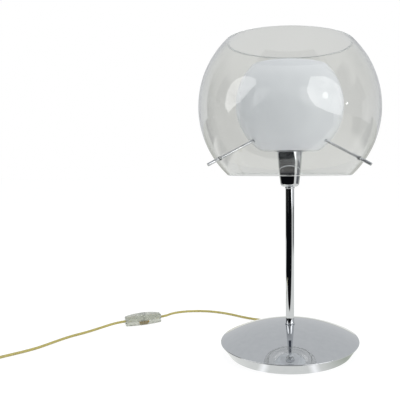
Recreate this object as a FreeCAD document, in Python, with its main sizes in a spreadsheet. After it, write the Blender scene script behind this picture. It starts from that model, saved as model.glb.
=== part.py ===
"""Glass globe table lamp: an opal globe inside a clear globe, on a chrome stem and a domed foot.

Millimetres. The lamp's axis is Z, the table top is Z = 0, and the front is -Y.
"""
import math
import os

import FreeCAD
import Part
import Sketcher

os.makedirs("parts", exist_ok=True)
doc = FreeCAD.newDocument("GlobeLamp")

# ---------------------------------------------------------------------------
# Driving dimensions (millimetres and degrees)
# ---------------------------------------------------------------------------
SIZES = {
    # foot
    "rim_radius": 105.0,          # widest line of the domed foot
    "rim_height": 17.2,           # height of that line above the table
    "rim_round": 1.2,             # radius of the rolled rim
    "dome_rise": 23.8,            # from the rim up to the crown
    "crown_radius": 8.5,          # flat seat under the stem collar
    "foot_radius": 93.5,          # lower edge of the side wall
    "foot_clearance": 0.6,        # lower edge above the table
    "wall_hollow": 0.6,           # how far the side wall curves in
    "cover_wall": 1.5,
    "weight_gap": 9.5,            # from the edge of the side wall to the weight
    "weight_height": 12.0,
    "boss_radius": 22.0,
    "cavity_radius": 15.0,
    "cavity_height": 21.0,
    "channel_width": 8.0,
    "plate_gap": 0.4,
    "plate_thickness": 1.2,
    "pad_thickness": 1.8,
    "pad_margin": 6.0,            # from the plate's edge to the felt's edge
    "screw_circle": 60.0,
    "screw_radius": 2.0,
    "screw_head_radius": 3.4,
    "screw_head_height": 1.1,
    "screw_bite": 7.0,            # length of screw in the weight
    "screw_spare": 1.0,           # depth of hole past the screw's end
    # threaded nipples, nuts
    "nipple_radius": 5.0,
    "nipple_bore": 3.0,
    "nipple_end": 1.0,            # how far the lower nipple stands out past its nut
    "nipple_tail": 8.0,           # how far the upper nipple reaches into the lampholder
    "nipple_grip": 24.0,          # length of nipple inside the stem
    "nut_radius": 8.0,
    "cup_nut_radius": 7.4,
    "nut_height": 4.5,
    "washer_radius": 11.0,
    "washer_thickness": 1.2,
    "thread_gap": 0.05,
    # stem
    "stem_radius": 6.5,
    "stem_length": 206.0,
    "collar_radius": 7.6,
    "collar_height": 2.4,
    "neck_radius": 7.4,
    "soft_edge": 0.6,             # swell of the stem collar and of the neck ring
    "neck_height": 3.0,
    # lampholder cup
    "cup_height": 52.4,
    "cup_foot_radius": 14.2,
    "cup_mouth_radius": 18.6,
    "cup_belly": 0.5,             # how far the side of the cup swells out
    "cup_round": 5.2,
    "cup_wall": 1.0,
    "lip_radius": 20.0,
    "lip_thickness": 0.9,
    # lampholder
    "sleeve_radius": 15.7,
    "sleeve_height": 41.6,        # above the cup's lip
    "socket_radius": 13.95,
    "socket_depth": 32.0,
    "holder_foot_radius": 11.0,
    "shell_wall": 0.45,
    "contact_radius": 3.0,
    "contact_height": 2.4,
    # opal globe
    "gasket_thickness": 0.5,
    "gasket_margin": 0.4,         # from the cup's lip to the gasket's edge
    "opal_radius": 80.0,
    "opal_wall": 3.0,
    "opal_mouth_height": 124.2,   # above the opal's flat bottom
    "opal_centre_height": 67.8,
    "opal_corner": 15.0,
    "opal_hole_gap": 0.4,
    # clamp ring and hub
    "ring_radius": 23.0,
    "ring_height": 5.0,
    "hub_height": 13.0,
    "hub_drop": 0.6,              # from the top of the sleeve to the top of the hub
    "clamp_gap": 0.05,
    # rods
    "rod_radius": 2.0,
    "rod_slope": 26.6,            # below the horizontal
    "rod_start": 17.6,            # distance from the lamp's axis
    "rod_overhang": 20.8,         # from the clear glass to the rod cap's end, along the rod
    "rod_gap": 0.06,
    "rod_hole_gap": 0.5,
    "rod_cap_radius": 2.4,
    "rod_cap_end": 1.2,           # thickness of the cap's closed end
    "rod_cap_round": 0.5,
    # clear globe
    "globe_radius": 134.3,
    "globe_wall": 3.0,
    "globe_centre": 365.0,
    "globe_mouth_radius": 94.1,   # outer edge of the open top
    "globe_foot_radius": 92.1,    # outer edge of the open bottom
    "grommet_radius": 2.7,
    "grommet_flange": 3.3,
    "grommet_lip": 0.6,
    "grommet_slack": 0.5,         # room for the glass, which leans on the rod
    # bulb
    "cap_radius": 13.15,
    "cap_height": 29.0,
    "bulb_radius": 30.0,
    "bulb_height": 77.0,
    "bulb_neck": 12.9,
    "bulb_flare": 2.2,            # how far the flare curves in
    # cord
    "cord_radius": 2.1,
    "cord_gap": 0.1,
    "gland_azimuth": 112.0,
    "gland_height": 8.5,
    "gland_length": 29.0,         # tip of the gland from the edge of the side wall
    "gland_shoulder": 7.0,        # start of the taper, just outside the cover's wall
    "gland_neck_radius": 3.9,
    "gland_tip_radius": 2.9,
    "gland_flange_radius": 5.1,
    "gland_flange": 2.5,
    "gland_inset": 2.0,           # from the cover's wall to the flange
    # cord coil
    "coil_radius": 33.0,
    "coil_pitch": 4.8,
    # hand switch
    "switch_length": 62.0,
    "switch_end_width": 14.5,
    "switch_mid_width": 24.0,
    "switch_end_height": 15.0,
    "switch_mid_height": 17.5,
    "switch_split": 7.8,          # height of the cord's axis and of the parting line
    "switch_wall": 1.6,
    "switch_edge": 2.2,
    "switch_x": -266.0,
    "switch_y": 121.5,
    "switch_yaw": 28.0,
    "rocker_half_length": 7.0,
    "rocker_reach": 2.4,          # how far the rocker stands out of the side
    "rocker_depth": 6.6,
    "rocker_dish": 0.8,
    "rocker_pin_radius": 1.3,
    "rocker_tilt": 7.0,
    "rocker_floor_gap": 0.3,
    "rocker_window_gap": 1.6,
    "rocker_pin_depth": 0.9,      # how deep the pin's ends sit in the shells
    "bridge_thickness": 0.6,
    "bridge_height": 3.0,
    "bridge_half_length": 9.0,
    "terminal_offset": 17.5,
    "terminal_length": 7.0,
    "terminal_width": 7.0,
    "terminal_height": 6.0,
    "terminal_screw_radius": 1.7,
    "terminal_screw_height": 2.2,
    "housing_screw_radius": 1.5,
    "housing_screw_head": 2.6,
    "housing_post_radius": 3.2,
    "housing_screw_offset": 5.5,
    "housing_screw_sink": 0.4,
    # plug
    "plug_width": 35.3,
    "plug_tail_width": 16.0,
    "plug_thickness": 13.7,
    "plug_length": 36.0,
    "plug_nose_length": 14.0,     # stretch of full width at the pins
    "plug_edge": 2.5,
    "relief_length": 20.0,
    "relief_radius": 4.2,
    "relief_tip_radius": 3.0,
    "pin_radius": 2.0,
    "pin_length": 19.0,
    "pin_spacing": 18.6,
    "sleeve_length": 10.0,
    "sleeve_wall": 0.35,
    "pin_root": 6.0,              # length of pin inside the plug
}


def make_sheet(sizes):
    """A sheet with one plain number and one alias in each row."""
    sheet = doc.addObject("Spreadsheet::Sheet", "Sizes")
    for row, (alias, number) in enumerate(sizes.items(), start=1):
        sheet.set("A%d" % row, alias)
        sheet.set("B%d" % row, str(number))
        sheet.setAlias("B%d" % row, alias)
    doc.recompute()
    return sheet


sheet = make_sheet(SIZES)


def number(expression):
    """The value of an expression in the sheet's aliases."""
    return float(sheet.evalExpression(expression))


def size(alias):
    """One driving dimension, read from the sheet."""
    return float(sheet.get(alias))


def vec(x, y, z=0.0):
    return FreeCAD.Vector(x, y, z)


def chord_radius(chord, rise):
    """Expression for the radius of an arc from its chord and its rise."""
    return "(((%s) ^ 2 / 4 + (%s) ^ 2) / (2 * (%s)))" % (chord, rise, rise)


# ---------------------------------------------------------------------------
# Heights that several pieces share, as expressions
# ---------------------------------------------------------------------------
PLATE_TOP = "(pad_thickness + plate_thickness)"
CROWN = "(rim_height + dome_rise)"
CROWN_INSIDE = "(%s - cover_wall)" % CROWN
CAVITY_TOP = "(%s + cavity_height)" % PLATE_TOP
STEM_TOP = "(%s + stem_length)" % CROWN
CUP_BOTTOM = "(%s + neck_height)" % STEM_TOP
CUP_TOP = "(%s + cup_height)" % CUP_BOTTOM
OPAL_BOTTOM = "(%s + gasket_thickness)" % CUP_TOP
OPAL_FLOOR = "(%s + opal_wall)" % OPAL_BOTTOM
SLEEVE_TOP = "(%s + sleeve_height)" % CUP_TOP
HUB_TOP = "(%s - hub_drop)" % SLEEVE_TOP
SOCKET_FLOOR = "(%s - socket_depth)" % SLEEVE_TOP
CONTACT_TOP = "(%s + contact_height)" % SOCKET_FLOOR
CAP_BOTTOM = "(%s + clamp_gap)" % CONTACT_TOP
CAP_TOP = "(%s + cap_height)" % CAP_BOTTOM
HOLDER_BOTTOM = "(%s + cup_wall + nut_height + clamp_gap)" % CUP_BOTTOM
LEAD_TOP = "(%s + nipple_tail + clamp_gap)" % HOLDER_BOTTOM
THREAD_RADIUS = "(nipple_radius + thread_gap)"
SLEEVE_BORE = "(sleeve_radius + clamp_gap)"
ROD_AXIS_HEIGHT = "(%s - hub_height / 2 + tan(rod_slope * 1 deg) * (rod_start + ring_radius) / 2)" % HUB_TOP
WEIGHT_RADIUS = "(foot_radius - weight_gap)"
GLAND_REACH = "(foot_radius + gland_length)"
GLOBE_DROP = "(%s - globe_centre)" % ROD_AXIS_HEIGHT
# along a rod, from the lamp's axis to the middle of the clear glass
GLASS_REACH = "sqrt((globe_radius - globe_wall / 2) ^ 2 - (%s * cos(rod_slope * 1 deg)) ^ 2)" % GLOBE_DROP
GLASS_CROSSING = "(%s * sin(rod_slope * 1 deg) + %s)" % (GLOBE_DROP, GLASS_REACH)
GROMMET_HALF = "(globe_wall / 2 + grommet_slack)"


# ---------------------------------------------------------------------------
# Building blocks
# ---------------------------------------------------------------------------
def origin_plane(body, role):
    return [feature for feature in body.Origin.OriginFeatures if feature.Role == role][0]


def arc_edge(start, end, radius, turn):
    """The short arc from start to end. turn +1 goes counter-clockwise, -1 clockwise."""
    chord = end - start
    reach = math.sqrt(max(radius ** 2 - (chord.Length / 2) ** 2, 0.0))
    normal = vec(-chord.y, chord.x) / chord.Length
    centre = start + chord / 2 + normal * (reach * turn)
    first, last = (start, end) if turn > 0 else (end, start)
    circle = Part.Circle(centre, vec(0, 0, 1), radius)
    first_angle = math.atan2(first.y - centre.y, first.x - centre.x)
    last_angle = math.atan2(last.y - centre.y, last.x - centre.x)
    if last_angle < first_angle:
        last_angle += 2 * math.pi
    return Part.ArcOfCircle(circle, first_angle, last_angle)


def outline_sketch(body, role, corners):
    """A closed sketch. Each corner is (x, y) or (x, y, radius, turn) where an arc leaves it."""
    sketch = body.newObject("Sketcher::SketchObject", body.Name + "_outline")
    sketch.AttachmentSupport = [(origin_plane(body, role), "")]
    sketch.MapMode = "FlatFace"
    places = [vec(number(corner[0]), number(corner[1])) for corner in corners]
    ends = []
    for index, corner in enumerate(corners):
        start, end = places[index], places[(index + 1) % len(corners)]
        if len(corner) == 2:
            edge = sketch.addGeometry(Part.LineSegment(start, end), False)
            ends.append((edge, 1, 2))
            continue
        edge = sketch.addGeometry(arc_edge(start, end, number(corner[2]), corner[3]), False)
        ends.append((edge, 1, 2) if corner[3] > 0 else (edge, 2, 1))
    for index, (edge, start, _) in enumerate(ends):
        before, _, last = ends[index - 1]
        sketch.addConstraint(Sketcher.Constraint("Coincident", before, last, edge, start))
    for index, corner in enumerate(corners):
        edge, start, _ = ends[index]
        for kind, axis, expression in (("DistanceX", -2, corner[0]), ("DistanceY", -1, corner[1])):
            if expression == "0":
                sketch.addConstraint(Sketcher.Constraint("PointOnObject", edge, start, axis))
                continue
            value = number(expression)
            row = sketch.addConstraint(Sketcher.Constraint(kind, -1, 1, edge, start, value))
            sketch.setExpression("Constraints[%d]" % row, in_sheet(expression))
        if len(corner) == 4:
            row = sketch.addConstraint(Sketcher.Constraint("Radius", edge, number(corner[2])))
            sketch.setExpression("Constraints[%d]" % row, in_sheet(corner[2]))
    return sketch


def in_sheet(expression):
    """The same expression with each alias named in full, for use outside the sheet."""
    words = []
    word = ""
    for letter in expression + " ":
        if letter.isalnum() or letter == "_":
            word += letter
            continue
        words.append("Sizes." + word if word in SIZES else word)
        words.append(letter)
        word = ""
    return "".join(words).strip()


def turned(label, corners):
    """A piece turned round Z. corners are (radius, height) with optional arcs."""
    body = doc.addObject("PartDesign::Body", label)
    sketch = outline_sketch(body, "XZ_Plane", corners)
    revolution = body.newObject("PartDesign::Revolution", label + "_turned")
    revolution.Profile = sketch
    revolution.ReferenceAxis = (sketch, ["V_Axis"])
    revolution.Angle = 360
    return body


def ring(label, bore, radius, bottom, top):
    """A plain ring or, with a bore of "0", a disc."""
    return turned(label, [(bore, bottom), (radius, bottom), (radius, top), (bore, top)])


def padded(label, role, corners, length, symmetric=False):
    """A sketch padded along the normal of its plane."""
    body = doc.addObject("PartDesign::Body", label)
    pad = body.newObject("PartDesign::Pad", label + "_pad")
    sketch = outline_sketch(body, role, corners)
    pad.Profile = sketch
    pad.SideType = "Symmetric" if symmetric else "One side"
    pad.setExpression("Length", in_sheet(length))
    body.Tip = pad
    return body


def cylinder(label, radius, height, placement=None):
    piece = doc.addObject("Part::Cylinder", label)
    piece.setExpression("Radius", in_sheet(radius))
    piece.setExpression("Height", in_sheet(height))
    if placement:
        piece.Placement = placement
    return piece


def box(label, length, width, height, placement=None):
    piece = doc.addObject("Part::Box", label)
    piece.setExpression("Length", in_sheet(length))
    piece.setExpression("Width", in_sheet(width))
    piece.setExpression("Height", in_sheet(height))
    if placement:
        piece.Placement = placement
    return piece


def cut(label, blank, *tools):
    """blank without the tools."""
    if len(tools) > 1:
        tool = doc.addObject("Part::MultiFuse", label + "_tools")
        tool.Shapes = list(tools)
    else:
        tool = tools[0]
    result = doc.addObject("Part::Cut", label)
    result.Base = blank
    result.Tool = tool
    return result


def common(label, first, second):
    result = doc.addObject("Part::Common", label)
    result.Base = first
    result.Tool = second
    return result


def fused(label, *pieces):
    result = doc.addObject("Part::MultiFuse", label)
    result.Shapes = list(pieces)
    return result


def group(label, pieces):
    """Identical pieces that share one node."""
    result = doc.addObject("Part::Compound", label)
    result.Links = list(pieces)
    return result


def turn_z(angle, base=None):
    """A placement turned about Z."""
    return FreeCAD.Placement(base or vec(0, 0), FreeCAD.Rotation(vec(0, 0, 1), angle))


def shifted(base):
    return FreeCAD.Placement(base, FreeCAD.Rotation())


def aimed(base, direction):
    """A placement that turns local Z to a direction."""
    return FreeCAD.Placement(base, FreeCAD.Rotation(vec(0, 0, 1), direction))


# ---------------------------------------------------------------------------
# Foot
# ---------------------------------------------------------------------------
def make_base_cover():
    """Spun shell: dome, rolled rim and a side wall that draws in to the foot."""
    rim_in = "(rim_radius - rim_round)"
    rim_top = "(rim_height + rim_round * 0.6)"
    rim_low = "(rim_height - rim_round * 0.6)"
    inner_rim = "(rim_radius - cover_wall - rim_round)"
    inner_rim_top = "(%s - cover_wall * 0.8)" % rim_top
    slant = "sqrt((rim_radius - foot_radius) ^ 2 + (%s - foot_clearance) ^ 2)" % rim_low
    wall_radius = chord_radius(slant, "wall_hollow")
    rise = "(%s - %s)" % (CROWN, rim_top)
    chord = "sqrt((%s - crown_radius) ^ 2 + %s ^ 2)" % (rim_in, rise)
    outer_dome = "(%s / (2 * sin(atan(%s / (%s - crown_radius)))))" % (chord, rise, rim_in)
    corners = [
        (THREAD_RADIUS, CROWN),
        (THREAD_RADIUS, CROWN_INSIDE),
        ("crown_radius", CROWN_INSIDE, "(%s - cover_wall)" % outer_dome, -1),
        (inner_rim, inner_rim_top),
        ("(foot_radius - cover_wall)", "foot_clearance"),
        ("foot_radius", "foot_clearance", wall_radius, -1),
        ("rim_radius", rim_low, "rim_round", 1),
        (rim_in, rim_top, outer_dome, 1),
        ("crown_radius", CROWN),
    ]
    shell = turned("base_cover_shell", corners)
    azimuth = size("gland_azimuth")
    out = vec(math.cos(math.radians(azimuth)), math.sin(math.radians(azimuth)))
    start = out * (size("foot_radius") * 0.8) + vec(0, 0, size("gland_height"))
    hole = cylinder("gland_hole", "(gland_neck_radius + cord_gap)", "foot_radius * 0.4", aimed(start, out))
    return cut("base_cover", shell, hole)


def make_base_weight():
    """Cast weight with a boss under the crown, a cavity for the nut and a channel for the lead."""
    bore = THREAD_RADIUS
    corners = [
        (bore, CAVITY_TOP),
        ("cavity_radius", CAVITY_TOP),
        ("cavity_radius", PLATE_TOP),
        (WEIGHT_RADIUS, PLATE_TOP),
        (WEIGHT_RADIUS, "(%s + weight_height)" % PLATE_TOP),
        ("boss_radius", "(%s + weight_height)" % PLATE_TOP),
        ("boss_radius", "(%s - 3 * cover_wall)" % CROWN_INSIDE),
        ("crown_radius", CROWN_INSIDE),
        (bore, CROWN_INSIDE),
    ]
    casting = turned("base_casting", corners)
    turn = size("gland_azimuth")
    corner = turn_z(turn).multVec(vec(size("cavity_radius") * 0.8, -size("channel_width") / 2))
    height = "(gland_height + channel_width / 2 - %s)" % PLATE_TOP
    channel = box("lead_channel", WEIGHT_RADIUS, "channel_width", height,
                  turn_z(turn, corner + vec(0, 0, number(PLATE_TOP))))
    holes = screw_holes("tapped_hole", "thread_gap", "(screw_bite + screw_spare)", number(PLATE_TOP))
    return cut("base_weight", casting, channel, *holes)


def screw_places(height):
    """The three screws of the base plate, clear of the lead channel."""
    places = []
    for index in range(3):
        angle = math.radians(size("gland_azimuth") + 60 + 120 * index)
        reach = size("screw_circle")
        places.append(shifted(vec(reach * math.cos(angle), reach * math.sin(angle), height)))
    return places


def screw_holes(label, gap, depth, height):
    """Round tools for the shanks of the three screws."""
    return [cylinder("%s_%d" % (label, index), "(screw_radius + %s)" % gap, depth, place)
            for index, place in enumerate(screw_places(height), start=1)]


def make_base_plate():
    edge = "(foot_radius - cover_wall - plate_gap)"
    disc = ring("plate_disc", "cavity_radius", edge, "pad_thickness", PLATE_TOP)
    holes = screw_holes("plate_hole", "cord_gap", PLATE_TOP, size("plate_thickness") / 2)
    return cut("base_plate", disc, *holes)


def make_foot_pad():
    """Felt disc under the plate, with clearance holes for the screw heads."""
    edge = "(foot_radius - cover_wall - plate_gap - pad_margin)"
    disc = ring("felt_disc", "0", edge, "0", "pad_thickness")
    places = screw_places(-size("pad_thickness") / 2)
    holes = [cylinder("felt_hole_%d" % index, "(screw_head_radius + cord_gap)", "(2 * pad_thickness)", place)
             for index, place in enumerate(places, start=1)]
    return cut("foot_pad", disc, *holes)


def make_plate_screws():
    screws = []
    for index, place in enumerate(screw_places(0), start=1):
        screw = turned("plate_screw_%d" % index, [
            ("0", "(pad_thickness - screw_head_height)"),
            ("screw_head_radius", "(pad_thickness - screw_head_height)"),
            ("screw_head_radius", "pad_thickness"),
            ("screw_radius", "pad_thickness"),
            ("screw_radius", "(%s + screw_bite)" % PLATE_TOP),
            ("0", "(%s + screw_bite)" % PLATE_TOP),
        ])
        screw.Placement = place
        screws.append(screw)
    return group("plate_screws", screws)


def make_nut(label, bottom, nut_radius):
    """Hexagonal nut with a plain bore for the nipple's thread."""
    prism = doc.addObject("Part::Prism", label + "_hexagon")
    prism.Polygon = 6
    prism.setExpression("Circumradius", in_sheet(nut_radius))
    prism.setExpression("Height", "Sizes.nut_height")
    bore = cylinder(label + "_bore", THREAD_RADIUS, "nut_height")
    nut = cut(label, prism, bore)
    nut.setExpression("Placement.Base.z", in_sheet(bottom))
    return nut


def make_base_hardware():
    washer_bottom = "(%s - washer_thickness)" % CAVITY_TOP
    nut_bottom = "(%s - nut_height)" % washer_bottom
    nipple_bottom = "(%s - nipple_end)" % nut_bottom
    nipple_top = "(%s + nipple_grip)" % CROWN
    return [
        ring("base_washer", THREAD_RADIUS, "washer_radius", washer_bottom, CAVITY_TOP),
        make_nut("base_nut", nut_bottom, "nut_radius"),
        ring("base_nipple", "nipple_bore", "nipple_radius", nipple_bottom, nipple_top),
    ]


# ---------------------------------------------------------------------------
# Stem and lampholder cup
# ---------------------------------------------------------------------------
def make_stem():
    collar = turned("stem_collar", [
        ("(stem_radius + thread_gap)", CROWN),
        ("(collar_radius - soft_edge)", CROWN, chord_radius("collar_height", "soft_edge"), 1),
        ("(collar_radius - soft_edge)", "(%s + collar_height)" % CROWN),
        ("(stem_radius + thread_gap)", "(%s + collar_height)" % CROWN),
    ])
    bulge = chord_radius("neck_height", "soft_edge")
    neck = turned("neck_ring", [
        (THREAD_RADIUS, STEM_TOP),
        ("(neck_radius - soft_edge)", STEM_TOP, bulge, 1),
        ("(neck_radius - soft_edge)", CUP_BOTTOM),
        (THREAD_RADIUS, CUP_BOTTOM),
    ])
    nipple = ring("cup_nipple", "nipple_bore", "nipple_radius", "(%s - nipple_grip)" % STEM_TOP,
                  "(%s + nipple_tail)" % HOLDER_BOTTOM)
    return [
        collar,
        ring("stem_tube", THREAD_RADIUS, "stem_radius", CROWN, STEM_TOP),
        neck,
        nipple,
        make_nut("cup_nut", "(%s + cup_wall)" % CUP_BOTTOM, "cup_nut_radius"),
    ]


def make_cup():
    """Tapered cup with a rounded bottom and a thin lip that carries the opal globe."""
    # a little more than a quarter's radius, so that the rounding runs softly into the side
    round_top = "(%s + cup_round)" % CUP_BOTTOM
    lip_bottom = "(%s - lip_thickness)" % CUP_TOP
    chord = "sqrt((cup_mouth_radius - cup_foot_radius) ^ 2 + (cup_height - lip_thickness - cup_round) ^ 2)"
    side = chord_radius(chord, "cup_belly")
    return turned("lampholder_cup", [
        (THREAD_RADIUS, CUP_BOTTOM),
        ("(cup_foot_radius - cup_round)", CUP_BOTTOM, "(cup_round * 1.02)", 1),
        ("cup_foot_radius", round_top, side, 1),
        ("cup_mouth_radius", lip_bottom),
        ("lip_radius", lip_bottom),
        ("lip_radius", CUP_TOP),
        ("(cup_mouth_radius - cup_wall)", CUP_TOP),
        ("(cup_mouth_radius - cup_wall)", lip_bottom, side, -1),
        ("(cup_foot_radius - cup_wall)", round_top),
        ("(cup_foot_radius - cup_round)", "(%s + cup_wall)" % CUP_BOTTOM),
        (THREAD_RADIUS, "(%s + cup_wall)" % CUP_BOTTOM),
    ])


def make_holder():
    """Lampholder body: a foot on the nipple and a threaded sleeve that the globes hang on."""
    step = "(%s - 2 * lip_thickness)" % CUP_TOP
    body = turned("holder_body", [
        (THREAD_RADIUS, HOLDER_BOTTOM),
        ("holder_foot_radius", HOLDER_BOTTOM),
        ("holder_foot_radius", "(%s + 2 * nipple_tail)" % HOLDER_BOTTOM),
        ("sleeve_radius", step),
        ("sleeve_radius", SLEEVE_TOP),
        ("socket_radius", SLEEVE_TOP),
        ("socket_radius", SOCKET_FLOOR),
        ("0", SOCKET_FLOOR),
        ("0", LEAD_TOP),
        (THREAD_RADIUS, LEAD_TOP),
    ])
    shell = ring("screw_shell", "(socket_radius - clamp_gap - shell_wall)", "(socket_radius - clamp_gap)",
                 "(%s + 3 * contact_height)" % SOCKET_FLOOR, SLEEVE_TOP)
    contact = turned("centre_contact", [
        ("0", SOCKET_FLOOR),
        ("(2 * contact_radius)", SOCKET_FLOOR),
        ("(2 * contact_radius)", "(%s + contact_height / 4)" % SOCKET_FLOOR),
        ("contact_radius", CONTACT_TOP),
        ("0", CONTACT_TOP),
    ])
    return [body, shell, contact]


def make_bulb():
    """Screw cap and pear-shaped envelope, whose flare meets the ball at 0.94 of its width."""
    cap = turned("bulb_cap", [
        ("0", CAP_BOTTOM),
        ("contact_radius", CAP_BOTTOM),
        ("(contact_radius * 1.5)", "(%s + contact_height / 2)" % CAP_BOTTOM),
        ("cap_radius", "(%s + 2.5 * contact_height)" % CAP_BOTTOM),
        ("cap_radius", CAP_TOP),
        ("0", CAP_TOP),
    ])
    widest = "(%s + bulb_height - bulb_radius)" % CAP_TOP
    flare = "sqrt((bulb_radius * 0.94 - bulb_neck) ^ 2 + (bulb_height - bulb_radius * 1.34) ^ 2)"
    envelope = turned("bulb_envelope", [
        ("0", CAP_TOP),
        ("bulb_neck", CAP_TOP, chord_radius(flare, "bulb_flare"), -1),
        ("(bulb_radius * 0.94)", "(%s - bulb_radius * 0.34)" % widest, "bulb_radius", 1),
        ("bulb_radius", widest, "bulb_radius", 1),
        ("0", "(%s + bulb_radius)" % widest),
    ])
    return [cap, envelope]


# ---------------------------------------------------------------------------
# Globes, hub and rods
# ---------------------------------------------------------------------------
def sphere_width(radius, offset):
    """Expression for a sphere's radius at a height from its centre."""
    return "sqrt((%s) ^ 2 - (%s) ^ 2)" % (radius, offset)


def rod_direction(azimuth):
    """Unit vector along a rod, outwards and down."""
    slope = math.radians(size("rod_slope"))
    turn = math.radians(azimuth)
    return vec(math.cos(turn) * math.cos(slope), math.sin(turn) * math.cos(slope), -math.sin(slope))


def rod_point(azimuth, reach):
    """The point of a rod's axis at a distance from the lamp's axis."""
    slope = math.radians(size("rod_slope"))
    start = vec(0, 0, number(ROD_AXIS_HEIGHT))
    return start + rod_direction(azimuth) * (reach / math.cos(slope))


ROD_AZIMUTHS = [-150 + 120 * index for index in range(3)]


def rod_holes(label, clearance):
    """Three tools on the rods' axes, longer than the rods."""
    return [cylinder("%s_hole_%d" % (label, index), clearance, "(globe_radius * 1.2)",
                     aimed(rod_point(azimuth, size("rod_start")), rod_direction(azimuth)))
            for index, azimuth in enumerate(ROD_AZIMUTHS, start=1)]


def make_opal_globe():
    """Opal glass: a sphere with an open mouth, a rounded corner and a flat, holed bottom."""
    centre = "(%s + opal_centre_height)" % OPAL_BOTTOM
    mouth = "(%s + opal_mouth_height)" % OPAL_BOTTOM
    inner = "(opal_radius - opal_wall)"
    corner_in = "(opal_corner - opal_wall)"
    hole = "(sleeve_radius + opal_hole_gap)"
    corner_x = "sqrt((opal_radius - opal_corner) ^ 2 - (opal_centre_height - opal_corner) ^ 2)"
    share = "(opal_radius / (opal_radius - opal_corner))"
    tangent_x = "(%s * %s)" % (corner_x, share)
    tangent_z = "(%s - (opal_centre_height - opal_corner) * %s)" % (centre, share)
    inner_share = "(%s / (opal_radius - opal_corner))" % inner
    inner_x = "(%s * %s)" % (corner_x, inner_share)
    inner_z = "(%s - (opal_centre_height - opal_corner) * %s)" % (centre, inner_share)
    above = "(opal_mouth_height - opal_centre_height)"
    blank = turned("opal_blank", [
        (hole, OPAL_BOTTOM),
        (corner_x, OPAL_BOTTOM, "opal_corner", 1),
        (tangent_x, tangent_z, "opal_radius", 1),
        ("opal_radius", centre, "opal_radius", 1),
        (sphere_width("opal_radius", above), mouth),
        (sphere_width(inner, above), mouth, inner, -1),
        (inner, centre, inner, -1),
        (inner_x, inner_z, corner_in, -1),
        (corner_x, OPAL_FLOOR),
        (hole, OPAL_FLOOR),
    ])
    return cut("inner_globe", blank, *rod_holes("inner_globe", "(rod_radius + rod_hole_gap)"))


def make_clear_globe():
    """Clear glass: a sphere open at the top and the bottom, holed for the grommets."""
    inner = "(globe_radius - globe_wall)"
    above = sphere_width("globe_radius", "globe_mouth_radius")
    below = sphere_width("globe_radius", "globe_foot_radius")
    top = "(globe_centre + %s)" % above
    bottom = "(globe_centre - %s)" % below
    blank = turned("globe_blank", [
        ("globe_foot_radius", bottom, "globe_radius", 1),
        ("globe_radius", "globe_centre", "globe_radius", 1),
        ("globe_mouth_radius", top),
        (sphere_width(inner, above), top, inner, -1),
        (inner, "globe_centre", inner, -1),
        (sphere_width(inner, below), bottom),
    ])
    return cut("outer_globe", blank, *rod_holes("outer_globe", "(grommet_radius + thread_gap)"))


def make_holder_rings():
    """Gasket and clamp ring of the opal globe, and the hub that carries the rods."""
    gasket_edge = "(lip_radius - gasket_margin)"
    gasket = ring("opal_gasket", "(sleeve_radius + opal_hole_gap)", gasket_edge, CUP_TOP, OPAL_BOTTOM)
    clamp = ring("shade_ring", SLEEVE_BORE, "ring_radius", OPAL_FLOOR, "(%s + ring_height)" % OPAL_FLOOR)
    blank = ring("hub_blank", SLEEVE_BORE, "ring_radius", "(%s - hub_height)" % HUB_TOP, HUB_TOP)
    hub = cut("rod_hub", blank, *rod_holes("rod_hub", "(rod_radius + rod_gap)"))
    return [gasket, clamp, hub]


def make_rods():
    """Three rods from the hub, through both globes, to just inside their caps."""
    length = "(%s + rod_overhang - rod_cap_end - clamp_gap - rod_start / cos(rod_slope * 1 deg))" % GLASS_CROSSING
    rods = []
    for index, azimuth in enumerate(ROD_AZIMUTHS, start=1):
        rod = cylinder("support_rod_%d" % index, "rod_radius", length,
                       aimed(rod_point(azimuth, size("rod_start")), rod_direction(azimuth)))
        rods.append(rod)
    return rods


def make_rod_fittings():
    """On each rod, a clear grommet in the glass's hole and a cap that keeps the globe on."""
    bore = "(rod_radius + rod_gap)"
    flange = "(%s + grommet_lip)" % GROMMET_HALF
    cap_start = "(%s + clamp_gap)" % flange
    reach = number(GLASS_CROSSING) * math.cos(math.radians(size("rod_slope")))
    fittings = []
    for index, azimuth in enumerate(ROD_AZIMUTHS, start=1):
        grommet = turned("rod_grommet_%d" % index, [
            (bore, "(-%s)" % flange),
            ("grommet_flange", "(-%s)" % flange),
            ("grommet_flange", "(-%s)" % GROMMET_HALF),
            ("grommet_radius", "(-%s)" % GROMMET_HALF),
            ("grommet_radius", GROMMET_HALF),
            ("grommet_flange", GROMMET_HALF),
            ("grommet_flange", flange),
            (bore, flange),
        ])
        cap = turned("rod_cap_%d" % index, [
            (bore, cap_start),
            ("rod_cap_radius", cap_start),
            ("rod_cap_radius", "(rod_overhang - rod_cap_round)", "rod_cap_round", 1),
            ("(rod_cap_radius - rod_cap_round)", "rod_overhang"),
            ("0", "rod_overhang"),
            ("0", "(rod_overhang - rod_cap_end)"),
            (bore, "(rod_overhang - rod_cap_end)"),
        ])
        for piece in (grommet, cap):
            piece.Placement = aimed(rod_point(azimuth, reach), rod_direction(azimuth))
            fittings.append(piece)
    return fittings


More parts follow.
